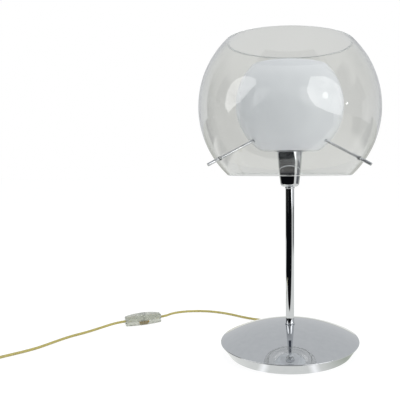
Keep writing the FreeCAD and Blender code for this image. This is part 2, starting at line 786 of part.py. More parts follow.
# ---------------------------------------------------------------------------
# Cord
# ---------------------------------------------------------------------------
# Routes in millimetres, from the lamp to the plug, chosen by hand along the photographed cord.
# The ends in the gland and in the switch come from those pieces.
CORD_DIAMETER = 2 * size("cord_radius")
SWITCH_PLACE = turn_z(size("switch_yaw"), vec(size("switch_x"), size("switch_y")))
LAMP_SIDE_ROUTE = [
    (-50.5, 125.0, 7.2),
    (-65.5, 139.0, 4.2),
    (-88.0, 156.5, 2.2),
    (-117.0, 177.0, 2.2),
    (-149.0, 191.5, 2.2),
    (-179.5, 193.0, 3.0),
    (-206.5, 180.5, 5.0),
    (-224.0, 161.5, 6.9),
]
PLUG_SIDE_ROUTE = [
    (-315.5, 91.5, 6.2),
    (-330.5, 77.0, 3.9),
    (-345.5, 61.0, 2.2),
    (-362.5, 41.0, 2.2),
    (-376.0, 14.5, 2.2),
    (-388.0, -12.0, 2.2),
    (-403.0, -31.0, 2.2),
    (-424.5, -52.5, 2.2),
    (-443.5, -77.0, 2.2),
    (-459.2, -95.4, 2.2),
]
TAIL_ROUTE_LENGTHS = [14.0, 14.0]
TAIL_TURN = 5.0
COIL_TURNS = 8.25


def cord_path(points):
    """Straight runs joined by tangent arcs, each as large as its two runs allow."""
    edges = []
    radii = []
    start = points[0]
    for before, here, after in zip(points, points[1:], points[2:]):
        way_in = (here - before).normalize()
        way_out = (after - here).normalize()
        half_turn = way_in.getAngle(way_out) / 2
        shorter = min((here - before).Length, (after - here).Length)
        set_back = 0.45 * shorter
        radii.append(set_back / math.tan(half_turn))
        first = here - way_in * set_back
        last = here + way_out * set_back
        bisector = (way_out - way_in).normalize()
        middle = here + bisector * (radii[-1] / math.cos(half_turn) - radii[-1])
        edges.append(Part.LineSegment(start, first).toShape())
        edges.append(Part.Arc(first, middle, last).toShape())
        start = last
    edges.append(Part.LineSegment(start, points[-1]).toShape())
    return edges, radii


def swept(label, edges, start, direction, radius):
    """A round tube along the edges, checked against its section times its length."""
    section = Part.Wire([Part.Circle(start, direction, radius).toShape()])
    path = Part.Wire(edges)
    tube = path.makePipeShell([section], True, False)
    piece = doc.addObject("Part::Feature", label)
    piece.Shape = tube
    expected = math.pi * radius ** 2 * path.Length
    print("%s: length %.1f, volume ratio %.4f" % (label, path.Length, tube.Volume / expected))
    return piece, path.Length


def gland_end():
    """The mouth of the gland, where the cord starts."""
    azimuth = math.radians(size("gland_azimuth"))
    out = vec(math.cos(azimuth), math.sin(azimuth))
    return out * number(GLAND_REACH) + vec(0, 0, size("gland_height"))


def switch_ends(side):
    """The terminal's face and a point just outside the switch, on one side (-1 left, 1 right)."""
    inside = vec(side * (size("terminal_offset") + size("terminal_length") / 2), 0, size("switch_split"))
    outside = vec(side * (size("switch_length") / 2 + 2 * CORD_DIAMETER), 0, size("switch_split"))
    return SWITCH_PLACE.multVec(inside), SWITCH_PLACE.multVec(outside)


def make_cord(label, points):
    edges, radii = cord_path(points)
    print("%s: radii %s" % (label, " ".join("%.0f" % radius for radius in radii)))
    return swept(label, edges, points[0], points[1] - points[0], size("cord_radius"))


def coil_point(turns, height):
    """The coil's centreline: in on the lower layer, up in half a turn, and out on the upper one."""
    middle = COIL_TURNS / 2
    reach = size("coil_radius") - size("coil_pitch") * (middle - abs(turns - middle))
    climb = min(max((turns - middle) * 2 + 0.5, 0.0), 1.0)
    lift = size("coil_pitch") * climb ** 2 * (3 - 2 * climb)
    angle = 2 * math.pi * turns - math.pi / 2
    return vec(reach * math.cos(angle), size("coil_radius") + reach * math.sin(angle), height + lift)


def coil_heading(turns):
    step = 0.02
    if turns in (0, COIL_TURNS):
        angle = 2 * math.pi * turns
        return vec(math.cos(angle), math.sin(angle))
    return (coil_point(turns + step, 0) - coil_point(turns - step, 0)).normalize()


def biarc(start, start_way, end, end_way):
    """Two arcs that join two points with the given directions."""
    gap = end - start
    ways = start_way + end_way
    square = 2 * (1 - start_way.dot(end_way))
    along = gap.dot(ways)
    reach = (math.sqrt(along ** 2 + square * gap.dot(gap)) - along) / square
    joint = (start + start_way * reach + end - end_way * reach) / 2
    arcs = []
    for first, way, last in ((start, start_way, joint), (end, end_way * -1, joint)):
        chord = last - first
        normal = (chord - way * chord.dot(way)).normalize()
        radius = chord.dot(chord) / (2 * chord.dot(normal))
        centre = first + normal * radius
        middle = centre + ((first - centre) + (last - centre)).normalize() * radius
        arcs.append((first, middle, last))
    back = arcs[1]
    return [Part.Arc(*arcs[0]).toShape(), Part.Arc(back[2], back[1], back[0]).toShape()]


def make_coil(placement):
    """The put-away cord: an unbroken tube with a straight end of one diameter at each end."""
    straight = CORD_DIAMETER
    steps = [index / 4 for index in range(int(COIL_TURNS * 4) + 1)]
    places = [coil_point(turns, 0) for turns in steps]
    ways = [coil_heading(turns) for turns in steps]
    start = places[0] - ways[0] * straight
    end = places[-1] + ways[-1] * straight
    edges = [Part.LineSegment(start, places[0]).toShape()]
    for index in range(len(steps) - 1):
        edges += biarc(places[index], ways[index], places[index + 1], ways[index + 1])
    edges.append(Part.LineSegment(places[-1], end).toShape())
    print_least_gap(edges)
    coil, length = swept("cord_coil", edges, start, ways[0], size("cord_radius"))
    coil.Placement = placement
    exit_way = placement.Rotation.multVec(ways[-1])
    return coil, length, placement.multVec(end), exit_way


def print_least_gap(edges):
    """The least gap between two stretches of the coil that are over half a turn apart."""
    samples = []
    travelled = 0.0
    for edge in edges:
        count = max(2, int(edge.Length / 1.5))
        first, last = edge.ParameterRange
        for index in range(count):
            place = edge.valueAt(first + (last - first) * index / count)
            samples.append((travelled + edge.Length * index / count, place))
        travelled += edge.Length
    apart = math.pi * (size("coil_radius") - size("coil_pitch") * COIL_TURNS / 2)
    least = min(place.distanceToPoint(other) for index, (along, place) in enumerate(samples)
                for further, other in samples[index + 1:] if further - along > apart)
    print("cord_coil: least gap to itself %.2f" % (least - CORD_DIAMETER))


def make_inner_lead():
    """The lead from the gland through the foot and the stem to the lampholder."""
    azimuth = math.radians(size("gland_azimuth"))
    out = vec(math.cos(azimuth), math.sin(azimuth))
    height = vec(0, 0, size("gland_height"))
    under_nipple = "(%s - washer_thickness - nut_height - nipple_end - gland_height)" % CAVITY_TOP
    bend = vec(0, 0, 0.9 * number(under_nipple))
    start = gland_end()
    turn_start = out * bend.Length + height
    turn_end = height + bend
    middle = (out * (1 - math.sqrt(0.5)) * bend.Length) + height + bend * (1 - math.sqrt(0.5))
    top = vec(0, 0, number(LEAD_TOP))
    edges = [Part.LineSegment(start, turn_start).toShape(),
             Part.Arc(turn_start, middle, turn_end).toShape(),
             Part.LineSegment(turn_end, top).toShape()]
    return swept("inner_lead", edges, start, out * -1, size("cord_radius"))[0]


def make_gland():
    """Bushing in the cover's wall with a tapered nose that guards the cord."""
    bore = "(cord_radius + cord_gap)"
    flange_start = "(foot_radius - cover_wall - gland_flange - gland_inset)"
    gland = turned("cord_gland", [
        (bore, flange_start),
        ("gland_flange_radius", flange_start),
        ("gland_flange_radius", "(%s + gland_flange)" % flange_start),
        ("gland_neck_radius", "(%s + gland_flange)" % flange_start),
        ("gland_neck_radius", "(foot_radius + gland_shoulder)"),
        ("gland_tip_radius", GLAND_REACH),
        (bore, GLAND_REACH),
    ])
    azimuth = math.radians(size("gland_azimuth"))
    out = vec(math.cos(azimuth), math.sin(azimuth))
    gland.Placement = aimed(vec(0, 0, size("gland_height")), out)
    return gland


# ---------------------------------------------------------------------------
# Hand switch (local X along the cord, local -Y towards the front)
# ---------------------------------------------------------------------------
def barrel_plan(inset):
    """Plan outline of the switch, drawn in by a wall thickness."""
    half = "(switch_length / 2 - %s)" % inset
    end = "(switch_end_width / 2 - %s)" % inset
    side = chord_radius("(2 * %s)" % half, "((switch_mid_width - switch_end_width) / 2)")
    return [
        ("(-%s)" % half, "(-%s)" % end, side, 1),
        (half, "(-%s)" % end),
        (half, end, side, 1),
        ("(-%s)" % half, end),
    ]


def barrel_side(inset):
    """Side outline of the switch: a flat bottom and a crowned top."""
    half = "(switch_length / 2 - %s)" % inset
    top = "(switch_end_height - %s)" % inset
    crown = chord_radius("(2 * %s)" % half, "(switch_mid_height - switch_end_height)")
    return [
        ("(-%s)" % half, inset),
        (half, inset),
        (half, top, crown, 1),
        ("(-%s)" % half, top),
    ]


def make_barrel(label, inset):
    plan = padded(label + "_plan", "XY_Plane", barrel_plan(inset), "(2 * switch_mid_height)")
    side = padded(label + "_side", "XZ_Plane", barrel_side(inset), "(2 * switch_mid_width)", symmetric=True)
    return common(label, plan, side)


def make_switch_shells():
    """Two clear shells that part at the height of the cord."""
    barrel = make_barrel("switch_barrel", "0")
    doc.recompute()
    soft = doc.addObject("Part::Fillet", "switch_soft")
    soft.Base = barrel
    soft.Edges = [(index, size("switch_edge"), size("switch_edge"))
                  for index in range(1, len(barrel.Shape.Edges) + 1)]
    hollow = make_barrel("switch_hollow", "switch_wall")
    along_x = vec(1, 0, 0)
    middle = vec(-size("switch_length"), 0, size("switch_split"))
    cord_hole = cylinder("switch_cord_hole", "(cord_radius + cord_gap)", "(2 * switch_length)",
                         aimed(middle, along_x))
    case = cut("switch_case", soft, hollow, cord_hole)
    half_size = ("(2 * switch_length)", "(2 * switch_mid_width)")
    low_corner = vec(-size("switch_length"), -size("switch_mid_width"))
    lower_half = box("lower_half", *half_size, "switch_split", shifted(low_corner))
    upper_half = box("upper_half", *half_size, "switch_mid_height",
                     shifted(low_corner + vec(0, 0, size("switch_split"))))
    lower = common("switch_lower_blank", case, lower_half)
    upper = common("switch_upper_blank", case, upper_half)

    pivot = rocker_pivot()
    screw = vec(0, size("housing_screw_offset"))
    window_half = "(rocker_half_length + rocker_window_gap)"
    window_corner = vec(-number(window_half), -size("switch_mid_width"), size("switch_wall"))
    window = box("rocker_window", "(2 * %s)" % window_half, "(switch_mid_width / 2 + 2 * switch_wall)",
                 "switch_split", shifted(window_corner))
    pin_floor = size("switch_wall") - size("rocker_pin_depth") - size("thread_gap")
    pin_hole = cylinder("lower_pin_hole", "(rocker_pin_radius + thread_gap)", "switch_wall",
                        shifted(pivot + vec(0, 0, pin_floor)))
    post_low = cylinder("lower_post", "housing_post_radius", "(switch_split - switch_wall / 2)",
                        shifted(screw + vec(0, 0, size("switch_wall") / 2)))
    screw_low = housing_screw("lower_screw_hole", "thread_gap", "(-switch_wall)")
    lower_shell = cut("switch_lower_shell", fused("switch_lower_full", lower, post_low),
                      window, pin_hole, screw_low)

    ceiling = "(switch_mid_height - switch_split - switch_wall / 2)"
    post_up = cylinder("upper_post", "housing_post_radius", ceiling,
                       shifted(screw + vec(0, 0, size("switch_split"))))
    bearing_low = shifted(pivot + vec(0, 0, size("switch_split")))
    bearing = cylinder("pin_bearing", "(rocker_pin_radius + switch_wall / 2)", ceiling, bearing_low)
    bearing_hole = cylinder("bearing_hole", "(rocker_pin_radius + thread_gap)",
                            "(rocker_pin_depth + rocker_floor_gap)", bearing_low)
    screw_up = housing_screw("upper_screw_hole", "thread_gap", "(-switch_wall)")
    upper_shell = cut("switch_upper_shell", fused("switch_upper_full", upper, post_up, bearing),
                      bearing_hole, screw_up)
    return [lower_shell, upper_shell]


def housing_screw(label, gap, sink):
    """The housing screw or, with a gap, the room for it and its sunk head."""
    head_top = "(housing_screw_sink + switch_wall)"
    screw = turned(label, [
        ("0", sink),
        ("(housing_screw_head + %s)" % gap, sink),
        ("(housing_screw_head + %s)" % gap, head_top),
        ("(housing_screw_radius + %s)" % gap, head_top),
        ("(housing_screw_radius + %s)" % gap, "(switch_mid_height - 2.5 * switch_wall)"),
        ("0", "(switch_mid_height - 2.5 * switch_wall)"),
    ])
    screw.Placement = shifted(vec(0, size("housing_screw_offset")))
    return screw


def rocker_pivot():
    """The rocker's pin, in the switch's own frame."""
    face = size("switch_mid_width") / 2 + size("rocker_reach")
    return vec(0, size("rocker_depth") - face, 0)


def make_rocker():
    """Rocker with a dished face, a pin into both shells and a brass bridge on its back."""
    bottom = "(switch_wall + rocker_floor_gap)"
    height = "(switch_split - %s - rocker_floor_gap)" % bottom
    dish = chord_radius("(2 * rocker_half_length)", "rocker_dish")
    back = "(rocker_pin_radius * 0.7)"
    block = padded("rocker_block", "XY_Plane", [
        ("(-rocker_half_length)", "(-rocker_depth)", dish, -1),
        ("rocker_half_length", "(-rocker_depth)"),
        ("(rocker_half_length - rocker_dish)", back),
        ("(-rocker_half_length + rocker_dish)", back),
    ], height)
    block.Placement = shifted(vec(0, 0, number(bottom)))
    pin = cylinder("rocker_pin", "rocker_pin_radius", "(switch_split - switch_wall + 2 * rocker_pin_depth)",
                   shifted(vec(0, 0, size("switch_wall") - size("rocker_pin_depth"))))
    rocker = fused("switch_rocker", block, pin)
    strip = box("bridge_strip", "(2 * bridge_half_length)", "bridge_thickness", "bridge_height",
                shifted(vec(-size("bridge_half_length"), number(back), 2 * size("switch_wall"))))
    bridge = cut("switch_bridge", strip, pin)
    tilt = turn_z(-size("rocker_tilt"), rocker_pivot())
    for piece in (rocker, bridge):
        piece.Placement = SWITCH_PLACE.multiply(tilt)
    return [rocker, bridge]


def make_terminals():
    """Brass blocks on the floor of the switch, each with its clamp screw."""
    blocks = []
    screws = []
    for side in (-1, 1):
        name = "left" if side < 0 else "right"
        corner = vec(side * size("terminal_offset") - size("terminal_length") / 2,
                     -size("terminal_width") / 2, size("switch_wall"))
        blocks.append(box("terminal_" + name, "terminal_length", "terminal_width", "terminal_height",
                          shifted(corner)))
        top = vec(side * size("terminal_offset"), 0, size("switch_wall") + size("terminal_height"))
        screws.append(cylinder("terminal_screw_" + name, "terminal_screw_radius", "terminal_screw_height",
                               shifted(top)))
    return [group("switch_terminals", blocks), group("terminal_screws", screws)]


def make_switch():
    still = make_switch_shells() + make_terminals()
    still.append(housing_screw("housing_screw", "0", "housing_screw_sink"))
    for piece in still:
        piece.Placement = SWITCH_PLACE.multiply(piece.Placement)
    return still + make_rocker()


# ---------------------------------------------------------------------------
# Plug (local X from the cord towards the pins)
# ---------------------------------------------------------------------------
def make_plug(place):
    """Flat two-pin plug with a tapered strain relief."""
    half = "(plug_width / 2)"
    tail = "(plug_tail_width / 2)"
    end = "(relief_length + plug_length)"
    shoulder = "(%s - plug_nose_length)" % end
    plan = padded("plug_plan", "XY_Plane", [
        ("relief_length", "(-%s)" % tail),
        (shoulder, "(-%s)" % half),
        (end, "(-%s)" % half),
        (end, half),
        (shoulder, half),
        ("relief_length", tail),
    ], "plug_thickness", symmetric=True)
    doc.recompute()
    soft = doc.addObject("Part::Fillet", "plug_soft")
    soft.Base = plan
    soft.Edges = [(index, size("plug_edge"), size("plug_edge"))
                  for index in range(1, len(plan.Shape.Edges) + 1)]
    relief = turned("plug_relief", [
        ("0", "0"),
        ("relief_tip_radius", "0"),
        ("relief_radius", "relief_length"),
        ("relief_radius", "(relief_length + plug_edge)"),
        ("0", "(relief_length + plug_edge)"),
    ])
    relief.Placement = aimed(vec(0, 0), vec(1, 0))
    holes = []
    pins = []
    sleeves = []
    for side in (-1, 1):
        name = "left" if side < 0 else "right"
        root = aimed(vec(number(end) - size("pin_root"), side * size("pin_spacing") / 2), vec(1, 0))
        face = aimed(vec(number(end), side * size("pin_spacing") / 2), vec(1, 0))
        holes.append(cylinder("pin_hole_" + name, "(pin_radius + thread_gap)", "(2 * pin_root)", root))
        pins.append(cylinder("pin_" + name, "pin_radius", "(pin_root + pin_length)", root))
        bore = "(pin_radius + thread_gap)"
        sleeve = ring("sleeve_" + name, bore, "(%s + sleeve_wall)" % bore, "0", "sleeve_length")
        sleeve.Placement = face
        sleeves.append(sleeve)
    body = cut("plug_body", fused("plug_full", soft, relief), *holes)
    pieces = [body, group("plug_pins", pins), group("plug_pin_sleeves", sleeves)]
    for piece in pieces:
        piece.Placement = place
    return pieces


def make_put_away_cord():
    """The coil where the photographed cord ends, the cord's last stretch and the plug."""
    last, end = vec(*PLUG_SIDE_ROUTE[-2]), vec(*PLUG_SIDE_ROUTE[-1])
    way = (end - last).normalize()
    angle = math.degrees(math.atan2(way.y, way.x))
    coil, coil_length, exit_point, exit_way = make_coil(turn_z(angle, end + way * CORD_DIAMETER))
    tail_points = [exit_point]
    heading = math.degrees(math.atan2(exit_way.y, exit_way.x))
    for length in TAIL_ROUTE_LENGTHS:
        tail_points.append(turn_z(heading, tail_points[-1]).multVec(vec(length, 0)))
        heading -= TAIL_TURN
    tail, tail_length = make_cord("cord_tail", tail_points)
    plug_place = turn_z(heading + TAIL_TURN, tail_points[-1])
    return [coil, tail] + make_plug(plug_place), coil_length + tail_length


# ---------------------------------------------------------------------------
# Assembly
# ---------------------------------------------------------------------------
def make_lamp():
    pieces = [make_base_cover(), make_base_weight(), make_base_plate(), make_foot_pad()]
    pieces.append(make_plate_screws())
    pieces += make_base_hardware()
    pieces += make_stem()
    pieces.append(make_cup())
    pieces += make_holder()
    pieces += make_holder_rings()
    pieces.append(make_opal_globe())
    pieces.append(make_clear_globe())
    pieces += make_rods()
    pieces += make_rod_fittings()
    pieces += make_bulb()
    pieces.append(make_gland())
    pieces.append(make_inner_lead())
    pieces += make_switch()
    right_inside, right_outside = switch_ends(1)
    lamp_side_points = [gland_end()] + [vec(*point) for point in LAMP_SIDE_ROUTE]
    lamp_side_points += [right_outside, right_inside]
    lamp_side, lamp_side_length = make_cord("cord_lamp_side", lamp_side_points)
    plug_side_points = list(switch_ends(-1)) + [vec(*point) for point in PLUG_SIDE_ROUTE]
    plug_side, plug_side_length = make_cord("cord_plug_side", plug_side_points)
    put_away, put_away_length = make_put_away_cord()
    total = lamp_side_length + plug_side_length + put_away_length
    print("cord: %.0f from the gland to the plug" % total)
    return pieces + [lamp_side, plug_side] + put_away


def check_and_export(pieces):
    """Stop on any failed object, then write one file for each piece."""
    doc.recompute()
    for item in doc.Objects:
        if "Invalid" in item.State or "Error" in item.State:
            raise RuntimeError("%s failed: %s" % (item.Name, item.State))
    for piece in pieces:
        shape = piece.Shape
        if shape.isNull() or not shape.isValid():
            raise RuntimeError("%s has no valid shape" % piece.Label)
        shape.exportStep(os.path.join("parts", piece.Label + ".step"))
    print("%d pieces written" % len(pieces))


check_and_export(make_lamp())
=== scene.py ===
"""Looks of the glass globe table lamp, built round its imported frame.

Metres in Blender, millimetres in the outlines below. The lamp's axis is Z and the table top is Z = 0.
"""
import math

import bmesh
import bpy
from mathutils import Matrix, Vector


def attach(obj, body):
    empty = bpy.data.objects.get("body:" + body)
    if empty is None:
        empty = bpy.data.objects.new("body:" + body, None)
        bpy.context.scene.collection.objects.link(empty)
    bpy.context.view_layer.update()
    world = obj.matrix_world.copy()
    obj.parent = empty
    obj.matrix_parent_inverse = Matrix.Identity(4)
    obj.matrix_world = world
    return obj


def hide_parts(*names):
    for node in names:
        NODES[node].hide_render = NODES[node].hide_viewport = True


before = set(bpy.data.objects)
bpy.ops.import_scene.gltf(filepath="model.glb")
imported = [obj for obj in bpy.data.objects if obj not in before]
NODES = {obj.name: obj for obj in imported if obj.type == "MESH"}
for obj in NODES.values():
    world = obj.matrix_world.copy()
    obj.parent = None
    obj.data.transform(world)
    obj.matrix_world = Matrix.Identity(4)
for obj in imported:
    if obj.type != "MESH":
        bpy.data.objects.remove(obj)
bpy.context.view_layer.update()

MM = 0.001


# ---------------------------------------------------------------------------
# Camera, at the photograph's place
# ---------------------------------------------------------------------------
CAMERA_PLACE = (0.0135, -0.7519, 0.2775)
CAMERA_YAW = math.radians(-2.614)     # to the left of straight ahead
CAMERA_PITCH = math.radians(3.625)    # downwards
CAMERA_ROLL = math.radians(-0.165)
LENS_MM = 45.11
LENS_SHIFT = -0.19                    # in picture widths: the lamp stands right of the middle


def make_camera():
    """The photograph's camera."""
    data = bpy.data.cameras.new("photo_camera")
    data.sensor_width = 36.0
    data.lens = LENS_MM
    data.shift_x = LENS_SHIFT
    data.clip_end = 60.0
    camera = bpy.data.objects.new("photo_camera", data)
    bpy.context.scene.collection.objects.link(camera)
    level = math.cos(CAMERA_PITCH)
    ahead = Vector((math.sin(CAMERA_YAW) * level, math.cos(CAMERA_YAW) * level, -math.sin(CAMERA_PITCH)))
    turn = ahead.to_track_quat("-Z", "Y").to_matrix().to_4x4() @ Matrix.Rotation(CAMERA_ROLL, 4, "Z")
    camera.matrix_world = Matrix.Translation(CAMERA_PLACE) @ turn
    bpy.context.scene.camera = camera


make_camera()


# ---------------------------------------------------------------------------
# Cord routes: the frame's route points, in metres
# ---------------------------------------------------------------------------
CORD_DIAMETER = 0.0042
GLAND_END = (-0.04589, 0.11358, 0.0085)
SWITCH_X, SWITCH_Y, SWITCH_Z, SWITCH_YAW = -0.266, 0.1215, 0.0078, math.radians(28.0)
TERMINAL_FACE = 0.021             # from the switch's middle to where the cord's end is clamped
SWITCH_CLEAR = 0.0394             # from the switch's middle to the first free point of the cord


def at_switch(along, across=0.0, height=SWITCH_Z):
    """A point given in the hand switch's own directions."""
    cos, sin = math.cos(SWITCH_YAW), math.sin(SWITCH_YAW)
    return (SWITCH_X + along * cos - across * sin, SWITCH_Y + along * sin + across * cos, height)


LAMP_SIDE_ROUTE = [
    GLAND_END,
    (-0.0505, 0.1250, 0.0072),
    (-0.0655, 0.1390, 0.0042),
    (-0.0880, 0.1565, 0.0022),
    (-0.1170, 0.1770, 0.0022),
    (-0.1490, 0.1915, 0.0022),
    (-0.1795, 0.1930, 0.0030),
    (-0.2065, 0.1805, 0.0050),
    (-0.2240, 0.1615, 0.0069),
    at_switch(SWITCH_CLEAR),
    at_switch(TERMINAL_FACE),
]
PLUG_SIDE_ROUTE = [
    at_switch(-TERMINAL_FACE),
    at_switch(-SWITCH_CLEAR),
    (-0.3155, 0.0915, 0.0062),
    (-0.3305, 0.0770, 0.0039),
    (-0.3455, 0.0610, 0.0022),
    (-0.3625, 0.0410, 0.0022),
    (-0.3760, 0.0145, 0.0022),
    (-0.3880, -0.0120, 0.0022),
    (-0.4030, -0.0310, 0.0022),
    (-0.4245, -0.0525, 0.0022),
    (-0.4435, -0.0770, 0.0022),
    (-0.4592, -0.0954, 0.0022),
]
COIL_TURNS = 8.25
COIL_RADIUS = 0.033
COIL_PITCH = 0.0048
POINTS_PER_TURN = 16
TAIL_RUN = 0.014
TAIL_TURN = math.radians(5.0)


def coil_point(turns):
    """The coil's line: in on the lower layer, up in half a turn, and out on the upper one."""
    middle = COIL_TURNS / 2
    reach = COIL_RADIUS - COIL_PITCH * (middle - abs(turns - middle))
    climb = min(max((turns - middle) * 2 + 0.5, 0.0), 1.0)
    angle = 2 * math.pi * turns - math.pi / 2
    lift = COIL_PITCH * climb ** 2 * (3 - 2 * climb)
    return Vector((reach * math.cos(angle), COIL_RADIUS + reach * math.sin(angle), lift))


def put_away_route():
    """Points of the coil and of the cord's last stretch, in the frame's directions."""
    last, end = Vector(PLUG_SIDE_ROUTE[-2]), Vector(PLUG_SIDE_ROUTE[-1])
    way = (end - last).normalized()
    start = end + way * CORD_DIAMETER
    turn = Matrix.Rotation(math.atan2(way.y, way.x), 3, "Z")
    count = int(COIL_TURNS * POINTS_PER_TURN)
    points = [start + turn @ coil_point(index / POINTS_PER_TURN) for index in range(count + 1)]
    heading = math.atan2(way.y, way.x) + 2 * math.pi * COIL_TURNS
    step = Vector((math.cos(heading), math.sin(heading), 0.0))
    points.append(points[-1] + step * CORD_DIAMETER)
    for _ in range(2):
        step = Vector((math.cos(heading), math.sin(heading), 0.0))
        points.append(points[-1] + step * TAIL_RUN)
        heading -= TAIL_TURN
    return points, points[-1], heading + TAIL_TURN


def make_cord_line(name, points, radius):
    """A smooth tube on a spline with the route's points as its control points."""
    data = bpy.data.curves.new(name, "CURVE")
    data.dimensions = "3D"
    spline = data.splines.new("NURBS")
    spline.points.add(len(points) - 1)
    for place, point in zip(spline.points, points):
        place.co = (*point, 1.0)
        place.radius = radius
    spline.order_u = 3
    spline.use_endpoint_u = True
    spline.resolution_u = 6
    data.bevel_depth = 1.0            # times each point's radius
    data.bevel_resolution = 5
    data.use_fill_caps = True
    line = bpy.data.objects.new(name, data)
    bpy.context.scene.collection.objects.link(line)
    return line


PUT_AWAY_ROUTE, PLUG_START, PLUG_HEADING = put_away_route()
lamp_side_cord = make_cord_line("cord_to_switch", LAMP_SIDE_ROUTE, CORD_DIAMETER / 2)
plug_side_cord = make_cord_line("cord_to_plug", PLUG_SIDE_ROUTE + PUT_AWAY_ROUTE, CORD_DIAMETER / 2)
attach(lamp_side_cord, "lamp")
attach(plug_side_cord, "lamp")


# ---------------------------------------------------------------------------
# Materials
# ---------------------------------------------------------------------------
NOISE_MIDDLE = (0.3, 0.7)         # most of a noise's values lie between these


def linear(code):
    """An sRGB hex colour as linear red, green, blue and alpha."""
    parts = [int(code[place:place + 2], 16) / 255 for place in (1, 3, 5)]
    return [part / 12.92 if part <= 0.04045 else ((part + 0.055) / 1.055) ** 2.4 for part in parts] + [1.0]


def add(tree, kind, sockets=None, links=None, **settings):
    """Adds a node with its settings, its sockets' values and the links into it."""
    made = tree.nodes.new(kind)
    for name, value in settings.items():
        setattr(made, name, value)
    for name, value in (sockets or {}).items():
        made.inputs[name].default_value = value
    for name, source in (links or {}).items():
        tree.links.new(source, made.inputs[name])
    return made


def new_material(name, **sockets):
    """A material with these values on its Principled shader; underscores stand for spaces."""
    material = bpy.data.materials.new(name)
    material.use_nodes = True
    tree = material.node_tree
    shader = tree.nodes["Principled BSDF"]
    for socket, value in sockets.items():
        shader.inputs[socket.replace("_", " ")].default_value = value
    return material, tree, shader


def both(tree, first, second):
    """The product of two values: 1 only where both are 1."""
    return add(tree, "ShaderNodeMath", None, {0: first, 1: second}, operation="MULTIPLY").outputs[0]


def either(tree, first, second):
    """The larger of two values: 1 where one of them is 1."""
    return add(tree, "ShaderNodeMath", None, {0: first, 1: second}, operation="MAXIMUM").outputs[0]


def ramp(tree, source, start, end, low=0.0, high=1.0):
    """A value that runs from low to high while the source runs from start to end."""
    return add(tree, "ShaderNodeMapRange",
               {"From Min": start, "From Max": end, "To Min": low, "To Max": high},
               {"Value": source}).outputs[0]


def tinted(tree, source, first, second):
    """Two hex colours mixed by a value."""
    return add(tree, "ShaderNodeMix", {6: linear(first), 7: linear(second)}, {0: source},
               data_type="RGBA").outputs[2]


def grain(tree, size_mm, detail=3.0):
    """Noise whose grain has about this size on the real piece."""
    where = add(tree, "ShaderNodeTexCoord")
    return add(tree, "ShaderNodeTexNoise", {"Scale": 1.0 / (size_mm * MM), "Detail": detail},
               {"Vector": where.outputs["Object"]}).outputs[0]


def relief(tree, source, depth_mm, strength=1.0):
    """A bump of this real depth."""
    return add(tree, "ShaderNodeBump", {"Strength": strength, "Distance": depth_mm * MM},
               {"Height": source}).outputs[0]


def dress(tree, shader, source, tones=None, rough=None, bump=None):
    """Lets a noise drive the colour between two tones, the roughness in a range, and a bump."""
    if tones:
        tree.links.new(tinted(tree, source, *tones), shader.inputs["Base Color"])
    if rough:
        tree.links.new(ramp(tree, source, *NOISE_MIDDLE, *rough), shader.inputs["Roughness"])
    if bump:
        tree.links.new(relief(tree, source, *bump), shader.inputs["Normal"])


def let_light_through(material, tree, shader, tint):
    """Lamps reach what is behind the glass, with the glass's own loss, instead of a black shadow."""
    path = add(tree, "ShaderNodeLightPath")
    to_lamp = either(tree, path.outputs["Is Shadow Ray"], path.outputs["Is Diffuse Ray"])
    clear = add(tree, "ShaderNodeBsdfTransparent", {"Color": linear(tint)})
    mixed = add(tree, "ShaderNodeMixShader", None, {0: to_lamp, 1: shader.outputs[0], 2: clear.outputs[0]})
    tree.links.new(mixed.outputs[0], tree.nodes["Material Output"].inputs["Surface"])
    return material


def make_chrome():
    """Steel with mirror-polished chrome plate: cool grey mirror, a breath of haze, slight polishing waves."""
    material, tree, shader = new_material("polished_chrome_plate", Metallic=1.0)
    dress(tree, shader, grain(tree, 9.0), ("#CED0D3", "#D8DADC"), (0.025, 0.06))
    dress(tree, shader, grain(tree, 30.0, 1.0), bump=(0.02, 0.4))
    return material


def make_clear_glass():
    """Blown soda-lime glass, clear with a faint grey cast: sharp gloss, slow waves from the blowing."""
    material, tree, shader = new_material("clear_blown_glass", Roughness=0.0, IOR=1.52,
                                          Transmission_Weight=1.0)
    dress(tree, shader, grain(tree, 45.0, 1.0), ("#F7F7F6", "#FAFAF9"), bump=(0.25, 0.5))
    return let_light_through(material, tree, shader, "#F9FAF9")


def make_ground_rim():
    """The same glass where its rim is ground flat: fine white matt that lets some light through."""
    material, tree, shader = new_material("ground_glass_rim", IOR=1.52, Transmission_Weight=0.45)
    dress(tree, shader, grain(tree, 0.6), ("#E9EAE8", "#F6F7F5"), (0.4, 0.6))
    return material


def make_opal_glass():
    """White opal glass, blown and left glossy: milky body that takes light in, faint cloudiness."""
    material, tree, shader = new_material("white_opal_glass", Roughness=0.07, IOR=1.5,
                                          Subsurface_Weight=0.35, Subsurface_Scale=0.006,
                                          Subsurface_Radius=(1.0, 1.0, 1.0))
    dress(tree, shader, grain(tree, 22.0), ("#EEEFF2", "#F3F4F6"))
    dress(tree, shader, grain(tree, 40.0, 1.0), bump=(0.15, 0.4))
    return material


def make_frosted_glass():
    """Bulb glass with a silica coat inside: soft white, satin gloss."""
    material, tree, shader = new_material("frosted_bulb_glass", Roughness=0.32, IOR=1.5,
                                          Subsurface_Weight=0.2, Subsurface_Scale=0.003,
                                          Subsurface_Radius=(1.0, 1.0, 1.0))
    dress(tree, shader, grain(tree, 1.2), ("#E9E8E3", "#F2F1EC"))
    return material


def make_clear_pvc():
    """Clear flexible PVC, extruded: glassy but soft, yellowed with age, slightly uneven."""
    material, tree, shader = new_material("clear_flexible_pvc", IOR=1.53, Transmission_Weight=0.7)
    dress(tree, shader, grain(tree, 3.0), ("#D6CD86", "#E2DA9E"), (0.08, 0.2))
    return let_light_through(material, tree, shader, "#D8CF98")


